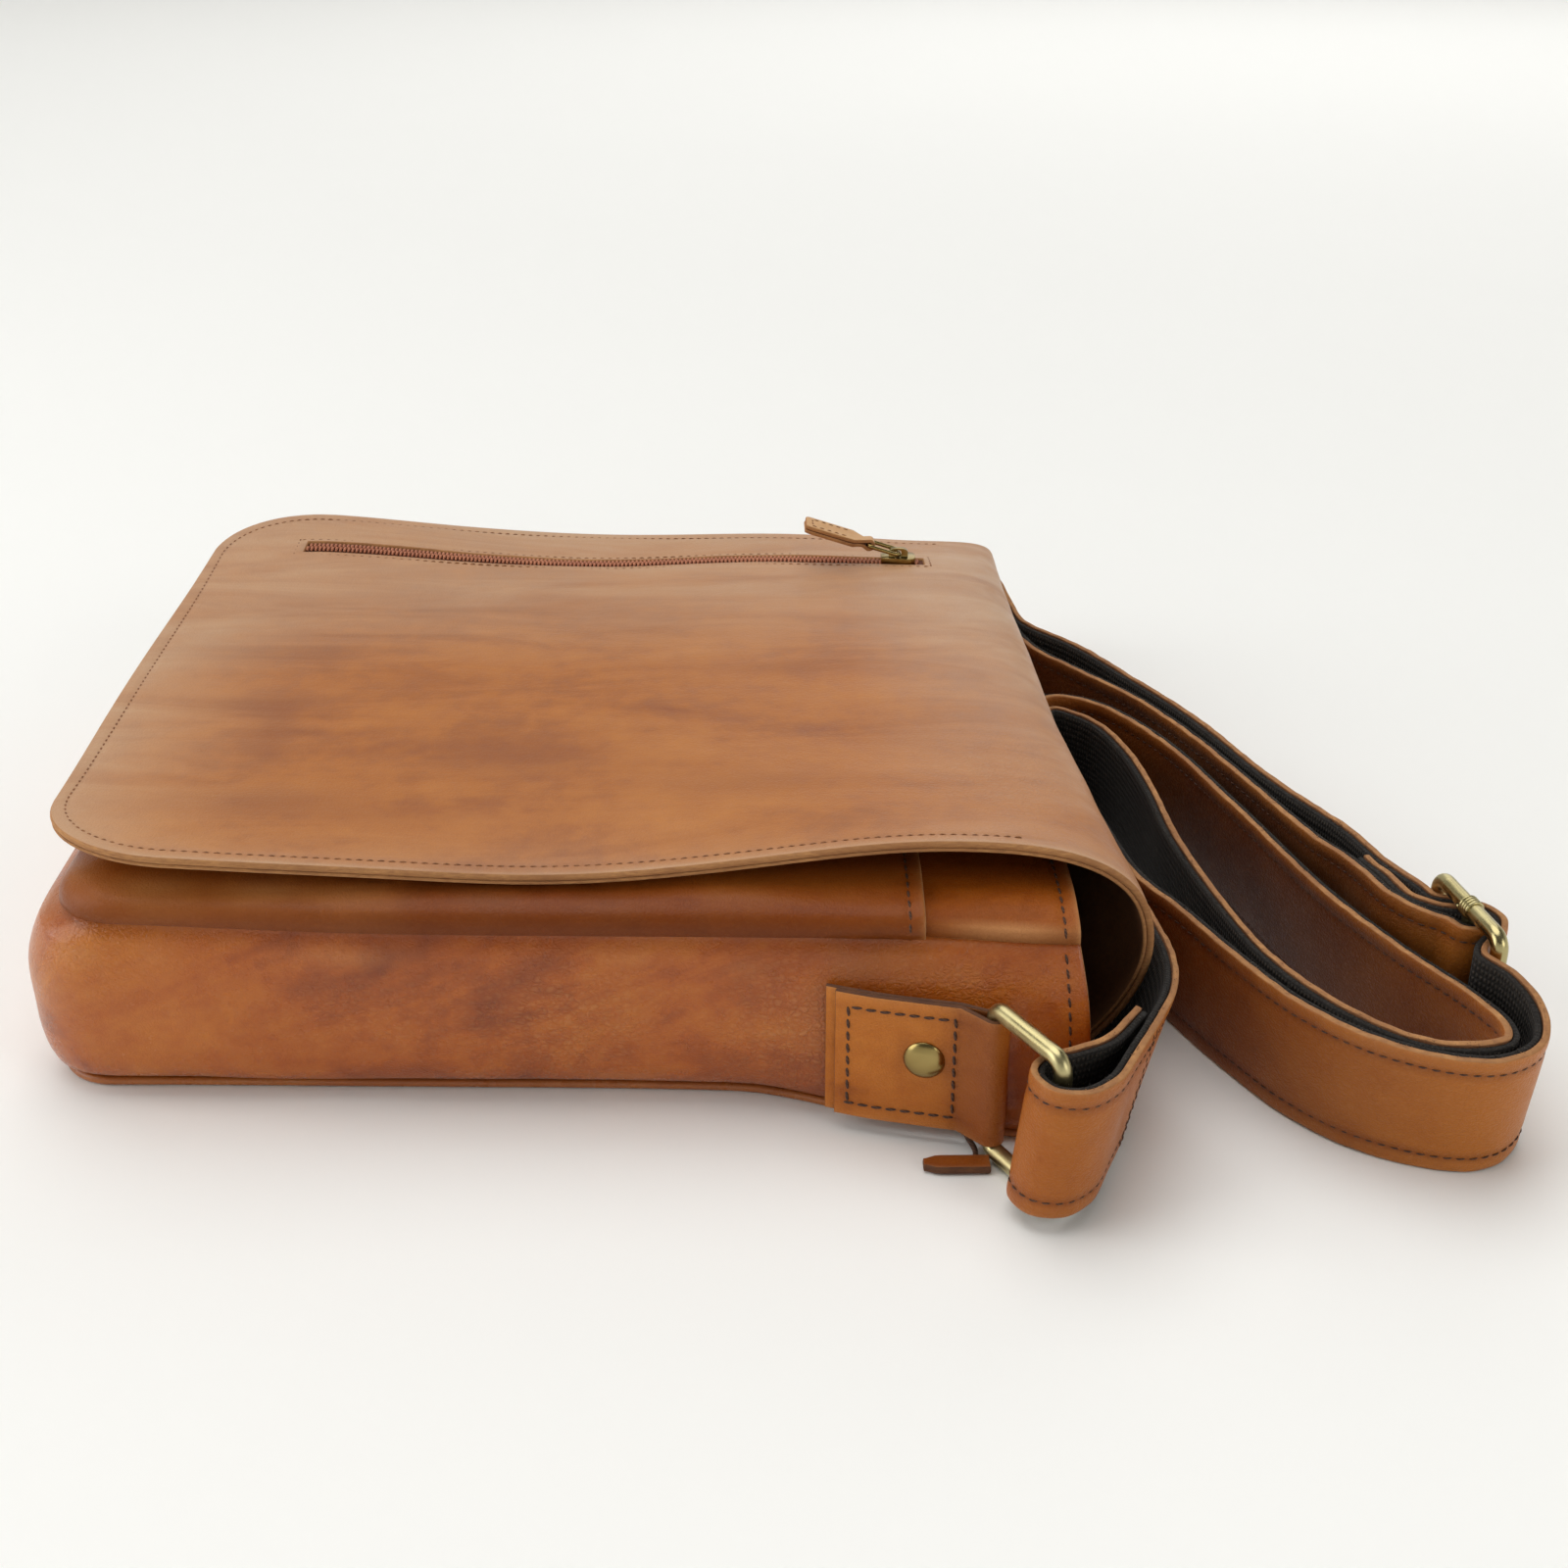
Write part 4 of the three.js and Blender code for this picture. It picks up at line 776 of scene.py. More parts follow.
frontSheet("front_panel_sheet", body["mouthX"], 0, -leather, [panelOrange, rawEdge, shadedInside],
           "front_panel", 0.15)
frontSheet("front_pocket_sheet", front["pocketHemX"], pocketTop, front["pocketLift"],
           [pocketShadedRusset, rawEdge, suede], "front_pocket", 0.1)
gussetNormal = -gridNormals(gussetGrid)
hemAt = 3  # the fourth station lies where the mouth's hem is sewn
bodyRuns = []
for k in (hemAt, len(stations) - 1 - hemAt):
    bodyRuns.append((gussetGrid[k, 2:-1] + gussetNormal[k, 2:-1] * 0.02, gussetNormal[k, 2:-1]))
bodyRuns.append(frontLine(body["mouthX"] - front["hemIn"], -front["panelSink"]))
bodyRuns.append(frontLine(front["pocketHemX"] - front["hemIn"], pocketTop - front["pocketSink"]))
stitchRow("body_stitches", bodyRuns, stitchDark, pitch=4.0, look=dict(stitchLook, long=3.0, wide=0.75),
          slot="body_leather")
print("front made")

# flap: a face with waves, a fold over the mouth and a tail sewn to the back panel
flap = dict(top=73.5, freeX=-165, half=138, cornerR=40, bowDeep=2.5, bowReach=60, faceEndX=112,
            foldStartX=104, foldReach=0.78, foldLong=45, lining=1.1, liningGap=0.12, liningEnd=1.76,
            tailZ=2.8, bendX=116, ease=12, endX=98, stitchIn=4.6, stitchSink=0.28, press=0.32, puff=0.32,
            finePuff=0.12, puffEase=18, puffEndX=150, deepest=99, smudge=0.85)
foldShape = [
    dict(y=-138, bulgeX=150, bulgeZ=45, above=17, below=20),
    dict(y=-85, bulgeX=143, bulgeZ=53, above=12, below=12),
    dict(y=0, bulgeX=136, bulgeZ=58, above=9, below=7),
    dict(y=138, bulgeX=134, bulgeZ=56, above=9, below=7),
]
flapWaves = [
    dict(x=88, y=-140, reachX=48, reachY=42, high=5.5),
    dict(x=-20, y=-145, reachX=50, reachY=35, high=-4.2),
    dict(x=-150, y=135, reachX=60, reachY=50, high=5.5),
    dict(x=-152, y=-132, reachX=45, reachY=40, high=3.5),
]
zipper = dict(y=103, fromX=-131, toX=103, slot=10, tapeWide=22, tapeThick=0.7, past=7, waveReachX=34,
              waveReachY=26, toothPitch=1.5, tooth=(1.95, 0.56, 0.7), toothZ=-0.15, toothOut=1.35, droop=0.3,
              coilIn=1.5, stitchIn=1.9, stitchSink=0.24, endSink=0.1, press=0.28, tapeRise=1.5,
              sewnFrom=-136, sewnTo=108, sewnPast=(3, 2))
tapeRoom = dict(fromX=-146, toX=112, past=4, ease=3, endEase=4, deep=0.5)  # dip of the lining under the tape
zipWaves = [dict(x=-115, high=3), dict(x=-22, high=-4), dict(x=45, high=1.5), dict(x=98, high=-3)]


def flapHeight(x, y):
    return flap["top"] + waves(flapWaves, x, y) + bodySag(x, y)


def zipWave(x):
    return sum(w["high"] * bell(x - w["x"], zipper["waveReachX"]) for w in zipWaves)


def freeBow(x):  # how far the free edge bows out, at most
    return flap["bowDeep"] * np.maximum(1 - (x - flap["freeX"]) / flap["bowReach"], 0)


def flapFace(x, v):
    past = np.maximum(flap["freeX"] + flap["cornerR"] - x, 0)
    edge = flap["half"] - flap["cornerR"] + np.sqrt(np.maximum(flap["cornerR"] ** 2 - past ** 2, 0))
    y = v * edge / flap["half"] + zipWave(x) * bell(v - zipper["y"], zipper["waveReachY"])
    bow = freeBow(x) * (1 - (v / flap["half"]) ** 2)
    return np.stack(np.broadcast_arrays(x - bow, y, flapHeight(x, y)), -1)


def bezier(a, b, c, d, t):
    s = 1 - t
    return s ** 3 * a + 3 * s * s * t * b + 3 * s * t * t * c + t ** 3 * d


def flapFold(part, v):  # part runs from 0 to 1 over the fold, to 2 down behind it and to 3 along the tail
    startX, bendX, tailZ = flap["foldStartX"], flap["bendX"], flap["tailZ"]
    start, ahead = (flapFace(np.full(v.shape, startX + step), v) for step in (0.0, 1.0))
    keys = ("bulgeX", "bulgeZ", "above", "below")
    bulgeX, bulgeZ, above, below = (column(foldShape, "y", key, v) for key in keys)
    startY, startZ = start[..., 1], start[..., 2]
    reach = (bulgeX - startX) * flap["foldReach"]
    steep = (ahead[..., 2] - startZ) * reach
    t = np.clip(part, 0, 1)
    over = np.stack([bezier(startX, startX + reach, bulgeX, bulgeX, t), startY + (v - startY) * t,
                     bezier(startZ, startZ + steep, bulgeZ + above, bulgeZ, t)], -1)
    t = np.clip(part - 1, 0, 1)
    down = np.stack([bezier(bulgeX, bulgeX, bendX + flap["ease"], bendX, t), v,
                     bezier(bulgeZ, bulgeZ - below, tailZ, tailZ, t)], -1)
    t = np.clip(part - 2, 0, 1)
    tail = np.stack([bendX + (flap["endX"] - bendX) * t, v, np.full(v.shape, tailZ)], -1)
    return np.where((part <= 1)[..., None], over, np.where((part <= 2)[..., None], down, tail))


def flapGrid(xs, parts, vs):
    face = flapFace(*np.meshgrid(xs, vs, indexing="ij"))
    if len(parts) == 0:
        return face
    return np.concatenate([face, flapFold(*np.meshgrid(parts, vs, indexing="ij"))])


def stepsOf(*groups):
    return np.unique(np.round(np.concatenate(groups), 3))


slotHalf, tapeHalf = zipper["slot"] / 2, zipper["tapeWide"] / 2
edgeSteps = np.array([0, 0.7, 1.6, 2.8, 3.7, 4.6, 5.5, 6.6, 8.5, 11])
slotSteps = np.array([0, 2.5, 5, 6.2, 7.5, 9, 12])
freeSteps = np.array([0, 0.25, 0.7, 1.4, 2.3, 3.2, 4.1, 5, 6, 7.5, 9.5, 12, 15, 18.5, 22.5, 27])
flapVs = stepsOf(-flap["half"] + edgeSteps, spread(-123, zipper["y"] - slotHalf - 9, 4.2),
                 zipper["y"] - slotSteps, zipper["y"] + slotSteps, spread(118, 126, 4),
                 flap["half"] - edgeSteps)
flapXs = stepsOf(flap["freeX"] + freeSteps, [zipper["fromX"] - 3, zipper["fromX"]], spread(-126, 98, 4),
                 [100.5, zipper["toX"]])
foldParts = np.concatenate([np.linspace(0, 1, 22), np.linspace(1, 2, 22)[1:], [2.5, 3]])
grid = flapGrid(flapXs, foldParts, flapVs)
rowX = np.concatenate([flapXs, flap["foldStartX"] + flap["foldLong"] * foldParts])
nudge = 0.01
inLength = (rowX[:-1] >= zipper["fromX"] - nudge) & (rowX[:-1] < zipper["toX"] - nudge)
inSlot = (flapVs[:-1] >= zipper["y"] - slotHalf - nudge) & (flapVs[:-1] < zipper["y"] + slotHalf - nudge)
flapKeep = ~(inLength[:, None] & inSlot[None, :])
gx, gv = np.meshgrid(rowX, flapVs, indexing="ij")
sideIn, freeIn, cornerR = flap["half"] - np.abs(gv), gx - flap["freeX"], flap["cornerR"]
pastCorner = np.abs(grid[..., 1]) - (flap["half"] - cornerR)
inCorner = (freeIn < cornerR) & (sideIn < cornerR) & (pastCorner > 0)
fromCorner = np.where(inCorner, cornerR - np.hypot(cornerR - freeIn, pastCorner), flap["deepest"])
inward = np.minimum(np.minimum(freeIn, sideIn), fromCorner)
onFace = (gx < flap["faceEndX"]).astype(float)
byZip = (gx > zipper["sewnFrom"]) & (gx < zipper["sewnTo"])
fromSlot = np.abs(gv - zipper["y"]) - slotHalf
press = flap["press"] * bell(inward - flap["stitchIn"], 0.8) * onFace
press = press + zipper["press"] * bell(fromSlot - zipper["stitchIn"], 0.7) * byZip
puff = flap["puff"] * ripple(grid[..., 0], grid[..., 1], 95, 41)
puff = puff + flap["finePuff"] * ripple(grid[..., 0], grid[..., 1], 34, 42)
puff = (puff * rise(inward / flap["puffEase"]) - press) * (gx < flap["puffEndX"])
grid = grid + gridNormals(grid) * puff[..., None]
smudges = [  # darker rubbed places on the flap's face
    dict(x=-122, y=5, reachX=26, reachY=5, high=0.6), dict(x=-127, y=-33, reachX=18, reachY=8, high=0.75),
    dict(x=-112, y=-52, reachX=8, reachY=24, high=0.7), dict(x=-106, y=-99, reachX=26, reachY=8, high=0.7),
    dict(x=-34, y=-71, reachX=24, reachY=13, high=0.6), dict(x=-4, y=33, reachX=22, reachY=10, high=0.45),
    dict(x=62, y=-5, reachX=40, reachY=5, high=0.5), dict(x=-46, y=57, reachX=30, reachY=11, high=0.4),
    dict(x=36, y=-90, reachX=30, reachY=9, high=0.45), dict(x=-78, y=-20, reachX=20, reachY=9, high=0.3),
    dict(x=-84, y=-108, reachX=50, reachY=5, high=0.35), dict(x=40, y=66, reachX=46, reachY=6, high=0.25),
    dict(x=86, y=-60, reachX=22, reachY=16, high=0.3), dict(x=-126, y=60, reachX=16, reachY=20, high=0.35),
]
golden = [  # places where the finish is thin and warm
    dict(x=-66, y=-42, reachX=26, reachY=16, high=0.8), dict(x=-12, y=-36, reachX=22, reachY=18, high=0.7),
    dict(x=30, y=18, reachX=34, reachY=14, high=0.7), dict(x=-60, y=12, reachX=24, reachY=14, high=0.5),
    dict(x=-50, y=-112, reachX=34, reachY=10, high=0.8), dict(x=10, y=-62, reachX=30, reachY=12, high=0.6),
    dict(x=60, y=-44, reachX=22, reachY=14, high=0.5), dict(x=-98, y=-14, reachX=10, reachY=18, high=0.5),
]
flapX, flapY = grid[..., 0], grid[..., 1]
# the smudges are real dark rubbed places; the rest is painted shade along the stitch groove and at the edge
# of the zip's slot
shade = flap["smudge"] * waves(smudges, flapX, flapY) * onFace + 0.3 * bell(inward - flap["stitchIn"], 1.2)
shade = shade + 0.25 * np.exp(-np.maximum(fromSlot, 0) / 2.5) * byZip
# real wear on the cut edge and a paler strip inside it; painted sheen toward the free end, over the fold and
# toward the far side
wearAndSheen = 0.75 * np.exp(-inward / 1.1) + 0.5 * np.exp(-inward / 12) + 0.6 * bell(gx - flap["freeX"], 38)
wearAndSheen = wearAndSheen + 0.8 * np.clip((gx - 70) / 50, 0, 1) * bell(gv - 10, 110) + 0.8 * np.clip((gv + 5) / 75, 0, 1)
flapMarks = dict(
    shade=np.clip(shade, 0, 1),
    wearAndSheen=np.clip(wearAndSheen, 0, 1),
    glow=np.clip(0.6 * waves(golden, flapX, flapY) * onFace, 0, 1),
    crease=np.clip(0.10 + 0.5 * bell(flapX - 112, 22) * bell(flapY + 92, 30), 0, 1))
leatherSheet("flap_sheet", grid, 0, -leather, [flapTan, rawEdge, suede], keep=flapKeep, marks=flapMarks,
             bulge=0.5, rounds=6, stands=["flap"], slot="flap_leather")

liningParts = foldParts[foldParts <= flap["liningEnd"]]
liningX = np.concatenate([flapXs, flap["foldStartX"] + flap["foldLong"] * liningParts])
lx, lv = np.meshgrid(liningX, flapVs, indexing="ij")
nearZip = rise((tapeHalf + tapeRoom["past"] - np.abs(lv - zipper["y"])) / tapeRoom["ease"])
for inside in (lx - tapeRoom["fromX"], tapeRoom["toX"] - lx):
    nearZip = nearZip * rise(inside / tapeRoom["endEase"])
liningTop = -(leather + flap["liningGap"] + nearZip * (zipper["tapeThick"] + tapeRoom["deep"]))
liningGrid = flapGrid(flapXs, liningParts, flapVs)
leatherSheet("flap_lining_sheet", liningGrid, liningTop, liningTop - flap["lining"], [suede, rawEdge, suede],
             bulge=0.35, stands=["flap_lining"], slot="lining")
print("flap made")


def flapLine(inset):  # round the free edges of the flap, this far inside them, from fold to fold
    cx, cy = flap["freeX"] + flap["cornerR"], flap["half"] - flap["cornerR"]
    r, side = flap["cornerR"] - inset, flap["half"] - inset
    arc = np.radians(np.linspace(0, 90, 30))
    near = np.column_stack([np.linspace(flap["faceEndX"], cx, 200), np.full(200, -side)])
    corner = np.column_stack([cx - r * np.sin(arc), -cy - r * np.cos(arc)])
    free = np.column_stack([np.full(120, cx - r), np.linspace(-cy, cy, 120)])
    farCorner, far = (corner * [1, -1])[::-1], (near * [1, -1])[::-1]
    x, y = np.concatenate([near, corner[1:], free[1:], farCorner[1:], far[1:]]).T
    bow = freeBow(x) * np.maximum(1 - (y / flap["half"]) ** 2, 0)
    return np.column_stack([x - bow, y, flapHeight(x, y)])


def onFlap(line, sink):  # a row of stitches sunk into the flap's face
    x, y = line[:, 0], line[:, 1]
    dx = flapHeight(x + 1, y) - flapHeight(x - 1, y)
    dy = flapHeight(x, y + 1) - flapHeight(x, y - 1)
    normals = unit(np.column_stack([-dx / 2, -dy / 2, np.ones(len(x))]))
    return line - normals * sink, normals


zipStitch = slotHalf + zipper["stitchIn"]
zipEnds = (zipper["fromX"] - zipper["sewnPast"][0], zipper["toX"] + zipper["sewnPast"][1])
flapRuns = [onFlap(flapLine(flap["stitchIn"]), flap["stitchSink"])]
for offset in (-zipStitch, zipStitch):
    line = flapFace(np.linspace(*zipEnds, 160), np.full(160, zipper["y"] + offset))
    flapRuns.append(onFlap(line, zipper["stitchSink"]))
for endX in zipEnds:
    across = zipper["y"] + np.linspace(-zipStitch, zipStitch, 30)
    flapRuns.append(onFlap(flapFace(np.full(30, endX), across), zipper["endSink"]))
stitchRow("flap_stitches", flapRuns, stitchBrown, pitch=3.0,
          look=dict(stitchLook, long=2.2, wide=0.6, high=0.46), slot="flap_leather")

# zip
zipXs = np.unique(np.concatenate([[zipper["fromX"] - zipper["past"]], flapXs[flapXs >= zipper["fromX"]]]))
tapeOut = np.array([0, 1.8, 3.6, 4.4, 4.9, 5.8, 8, tapeHalf])
tapeAcross = np.concatenate([-tapeOut[:0:-1], tapeOut])
inOpening = (np.abs(tapeAcross) < slotHalf - 0.3)[None, :] * (zipXs > zipper["fromX"] + 0.5)[:, None]
tapeTop = zipper["tapeRise"] * inOpening - (leather + gap)
tapeGrid = flapGrid(zipXs, [], zipper["y"] + tapeAcross)
leatherSheet("zip_tape_sheet", tapeGrid, tapeTop, tapeTop - zipper["tapeThick"], [zipCloth] * 3, bulge=0.05,
             rounds=2, stands=["zip_tape"], slot="zip_cloth")


def zipTeeth():  # two rows of little loops that lock into each other
    shape, shapeFaces = stitchShape(8)
    sx, sy, sz = shape.T
    long, thick, high = zipper["tooth"]
    upward = sz * high - sx ** 2 * zipper["droop"] + zipper["toothZ"]
    tooth = np.column_stack([sy * thick, sx * long, upward])
    points, faces = [], []
    first, last = zipper["fromX"] + zipper["coilIn"], zipper["toX"] - zipper["coilIn"]
    for x in np.arange(first, last, zipper["toothPitch"]):
        for sign in (-1, 1):
            place = x + sign * zipper["toothPitch"] / 4, zipper["y"] + sign * zipper["toothOut"]
            faces += [[len(points) * len(shape) + q for q in face][::-1] for face in shapeFaces]
            points.append(flapFace(*np.array(place)) + tooth)
    makePiece("zip_coil", np.concatenate(points), faces, [zipCoil], stands=["zip_teeth"], slot="zip_cloth")


slide = dict(weld=0.02, round=0.35, segments=3, sharp=40)


def zipSlider():  # the slider of the frame with its edges rounded
    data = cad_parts["zip_slider"].data.copy()
    data.materials.clear()
    data.materials.append(agedBrass)
    piece = linked("zip_slider_body", data)
    weld = piece.modifiers.new("weld", "WELD")
    weld.merge_threshold = slide["weld"] / 1000
    bevel = piece.modifiers.new("edges", "BEVEL")
    bevel.width = slide["round"] / 1000
    bevel.segments = slide["segments"]
    bevel.limit_method = "ANGLE"
    bevel.angle_limit = math.radians(slide["sharp"])
    data.shade_smooth()
    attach(piece, "bag")
    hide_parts("zip_slider")


zipTeeth()
zipSlider()
bail = dict(wire=0.8, wide=6.4, long=12, corner=1.6, pivot=(93.03, 100.2686, 74.806), rise=18)
pull = dict(long=25, wide=11, layer=1.3, wrap=80, neck=2.4, shoulder=4, tipIn=0.9, tipLong=1.5, sewnY=3.6,
            sewnTip=2.4, sewnFrom=8)


def pullPlace(points):  # from the puller's own flat frame to where it stands
    a = math.radians(bail["rise"])
    x, y, z = points[..., 0], points[..., 1], points[..., 2]
    turned = np.stack([x * math.cos(a) + z * math.sin(a), y, -x * math.sin(a) + z * math.cos(a)], -1)
    return turned + np.array(bail["pivot"])


def bailWire():
    def flat(u, v):
        return np.array([-u, v - bail["wide"] / 2, 0.0])

    line = pullPlace(roundedLoop(flat, bail["long"], bail["wide"], bail["corner"], bail["corner"], 7))
    points, faces = roundWire([(denser(line, 0.8, True), True)], bail["wire"], 12)
    makePiece("zip_bail_wire", points, faces, [agedBrass], body="zip_puller", stands=["zip_bail"],
              slot="brass")


def pullSheet():  # one strip folded round the end of the bail
    turnR, flat = bail["wire"] + gap + pull["layer"] / 2, (pull["layer"] + gap) / 2
    bar = -bail["long"]
    tip = bar - pull["long"]
    turn = np.radians(np.linspace(-pull["wrap"], pull["wrap"], 15))
    flatX = np.concatenate([tip + np.array([0, 0.25, 0.8, 1.7, 3]), np.linspace(tip + 5, bar - 2.2, 10)])
    lineX = np.concatenate([flatX, bar + turnR * np.cos(turn), flatX[::-1]])
    lineZ = np.concatenate([np.full(len(flatX), -flat), turnR * np.sin(turn), np.full(len(flatX), flat)])
    narrow = bail["wide"] / 2 - bail["wire"] - gap
    half = narrow + (pull["wide"] / 2 - narrow) * rise((bar - pull["neck"] - lineX) / pull["shoulder"])
    half = half - pull["tipIn"] * np.clip(1 - (lineX - tip) / pull["tipLong"], 0, 1) ** 2
    across = np.linspace(-1, 1, 11)
    grid = np.stack(np.broadcast_arrays(lineX[:, None], half[:, None] * across, lineZ[:, None]), -1)
    edge = np.abs(across) ** 6
    marks = dict(shade=edge * 0.15, wearAndSheen=edge * 0.5, crease=0)
    leatherSheet("zip_pull_leather", pullPlace(grid), -pull["layer"] / 2, pull["layer"] / 2,
                 [pullTan, rawEdge, suede], bulge=0.15, marks=marks, body="zip_puller", stands=["zip_pull"],
                 slot="flap_leather")
    sideX = np.linspace(bar - pull["sewnFrom"], tip + 3, 20)
    x = np.concatenate([sideX, np.full(12, tip + pull["sewnTip"]), sideX[::-1]])
    y = np.concatenate([np.full(20, pull["sewnY"]), np.linspace(3, -3, 12), np.full(20, -pull["sewnY"])])
    runs = []
    for face in (-1.0, 1.0):
        z = np.full(len(x), face * (flat + pull["layer"] / 2 - 0.02))
        normal = pullPlace(np.array([[0, 0, face]])) - np.array(bail["pivot"])
        runs.append((pullPlace(np.column_stack([x, y, z])), normal))
    stitchRow("zip_pull_stitches", runs, stitchBrown, pitch=2.9,
              look=dict(stitchLook, long=2.2, wide=0.6, high=0.45), body="zip_puller", slot="flap_leather")


bailWire()
pullSheet()
print("zip made")

# strap tabs, rings and rivets
strap = dict(wide=39, leather=2.0, webbing=1.6, inset=0.6, lift=5.0, low=0.15, stitchIn=4.6, stitchSink=0.28,
             endSink=0.05, endRows=(2.5, 5.5), ragged=0.22, press=0.3, edgePress=0.2, puff=0.16)
ring = dict(wire=2.2, showWire=2.5, low=2.5, topRoom=1.3, barX=101.5, barOut=5.0, barCorner=3.2,
            bowCorner=4.5, near=(116, -199), far=(121.5, 175.8))
ringTop = strap["lift"] + strap["wide"] + ring["topRoom"] + ring["wire"]
ringHigh = ringTop - ring["low"]
tab = dict(fromX=57, frontX=59.5, bendX=70, loopX=93, wide=40, leather=1.5, seat=0.15, wrap=125,
           stitchIn=4.2, stitchSink=0.05, sewnFrom=62.9, sewnTo=91.5, darkX=97)
rivet = dict(x=83.5, z=27, high=2.2, seat=0.02, around=40)
rivetProfile = [  # radius and share of the height, from the middle out
    (0, 1.03), (0.9, 1.02), (1.7, 0.985), (2.5, 0.92), (3.2, 0.835), (3.85, 0.73), (4.45, 0.6), (4.95, 0.46),
    (5.35, 0.32), (5.65, 0.17), (5.8, 0.05), (5.78, 0),
]


def sideOut(x, sign):
    return np.maximum(baseHalf(x, sign), seamHalf(x)) + swell(x)


def tabOut(x, sign, layer):  # middle of the tab's back layer, 0, or its front layer, 1
    return sideOut(x, sign) + tab["seat"] + tab["leather"] / 2 + layer * (tab["seat"] + tab["leather"])


def tabFront(x, sign):  # the front layer runs straight from its bend to the ring
    bend, end = tabOut(tab["bendX"], sign, 1), tabOut(tab["loopX"], sign, 1)
    straight = bend + (end - bend) * (x - tab["bendX"]) / (tab["loopX"] - tab["bendX"])
    return sign * np.where(x > tab["bendX"], straight, tabOut(x, sign, 1))


def tabLeather(side, sign, bar, outward):
    turnR = ring["wire"] + gap + tab["leather"] / 2
    turn = np.radians(np.linspace(tab["wrap"], -tab["wrap"], 30))
    loop = np.column_stack([bar[0] + turnR * np.cos(turn), bar[1] - sign * turnR * np.sin(turn)])
    backX, frontX = spread(tab["fromX"], tab["loopX"], 1.8), np.linspace(tab["loopX"], tab["frontX"], 22)
    back = np.column_stack([backX, sign * tabOut(backX, sign, 0)])
    line = np.concatenate([back, loop, np.column_stack([frontX, tabFront(frontX, sign)])])
    shares = np.array([0, 0.01, 0.03, 0.07, 0.105, 0.14, 0.22, 0.35])
    across = strap["lift"] + tab["wide"] * np.concatenate([shares, [0.5, 0.65, 0.78], 1 - shares[5::-1]])
    grid = np.stack(np.broadcast_arrays(line[:, :1], line[:, 1:], across), -1)
    onFront = (np.arange(len(line)) >= len(backX) + len(loop))[:, None]
    edgeIn = np.minimum(across - strap["lift"], strap["lift"] + tab["wide"] - across)
    fromRivet = np.hypot(grid[..., 0] - rivet["x"], grid[..., 2] - rivet["z"])
    # painted shade along the stitch groove and where the tab turns round the ring's bar; a dark ring round
    # the rivet
    shade = 0.25 * bell(edgeIn - tab["stitchIn"], 1.4) * onFront + bell(grid[..., 0] - tab["darkX"], 6)
    shade = np.clip(shade + 0.35 * bell(fromRivet - 6.5, 2), 0, 1)
    marks = dict(shade=shade, wearAndSheen=0.4 * np.exp(-edgeIn / 0.9), glow=0.65, crease=0.15)
    leatherSheet(f"strap_tab_{side}_leather", grid, -tab["leather"] / 2, tab["leather"] / 2,
                 [strapTan, burntEdge, strapTan], marks=marks,
                 stands=[f"strap_tab_{side}", f"tab_backing_{side}"], slot="flap_leather")
    top, low = strap["lift"] + tab["wide"] - tab["stitchIn"], strap["lift"] + tab["stitchIn"]
    left, right = tab["sewnFrom"], tab["sewnTo"]
    xs = np.concatenate([np.full(20, left), np.linspace(left, right, 30)[1:], np.full(19, right),
                         np.linspace(right, left, 30)[1:]])
    zs = np.concatenate([np.linspace(low, top, 20), np.full(29, top), np.linspace(top, low, 20)[1:],
                         np.full(29, low)])
    sewn = np.column_stack([xs, tabFront(xs, sign), zs])
    sewn = sewn + outward * (tab["leather"] / 2 - tab["stitchSink"])
    stitchRow(f"tab_{side}_stitches", [(sewn, outward)], stitchDark, pitch=4.0,
              look=dict(stitchLook, wide=0.95, high=0.75), slot="flap_leather")


def wireFrame(name, start, end, startR, endR, stands):  # upright loop of wire between two places
    length = np.linalg.norm(end - start)
    along = (end - start) / length

    def upright(u, v):
        return np.array([*(start + along * u), ring["low"] + v])

    line = roundedLoop(upright, length, ringHigh, startR, endR)
    points, faces = roundWire([(denser(line, 1.0, True), True)], ring["showWire"], 24)
    makePiece(name, points, faces, [brass], stands=[stands], slot="brass")
    return along


def rivetCap(side, sign, outward):
    seat = np.array([rivet["x"], float(tabFront(rivet["x"], sign)), rivet["z"]])
    seat = seat + outward * (tab["leather"] / 2 + rivet["seat"])
    count, up = rivet["around"], np.array([0, 0, 1.0])
    spin = np.arange(count) / count * math.tau
    circle = np.outer(np.cos(spin), np.cross(outward, up)) + np.outer(np.sin(spin), up)
    rings = [seat + r * circle + outward * (high * rivet["high"]) for r, high in rivetProfile[1:]]
    points = np.concatenate(rings + [[seat + outward * rivet["high"] * rivetProfile[0][1]]])
    last = (len(rings) - 1) * count
    faces = [[len(points) - 1, k, (k + 1) % count] for k in range(count)] + bandFaces(len(rings), count)
    faces.append(list(range(last, last + count))[::-1])
    makePiece(f"rivet_{side}_cap", points, faces, [agedBrass], stands=[f"rivet_{side}"], slot="brass")


def sideFittings(side, sign, bow):
    bar = np.array([ring["barX"], sign * (sideOut(ring["barX"], sign) + ring["barOut"])])
    bend, end = (np.array([x, float(tabFront(x, sign))]) for x in (tab["bendX"], tab["loopX"]))
    slope = unit(end - bend)
    outward = np.array([-slope[1], slope[0], 0]) * sign
    tabLeather(side, sign, bar, outward)
    wireFrame(f"d_ring_{side}_wire", bar, np.array(bow, float), ring["barCorner"], ring["bowCorner"],
              f"d_ring_{side}")
    rivetCap(side, sign, outward)


sideFittings("near", -1, ring["near"])
sideFittings("far", 1, ring["far"])
print("tabs, rings and rivets made")

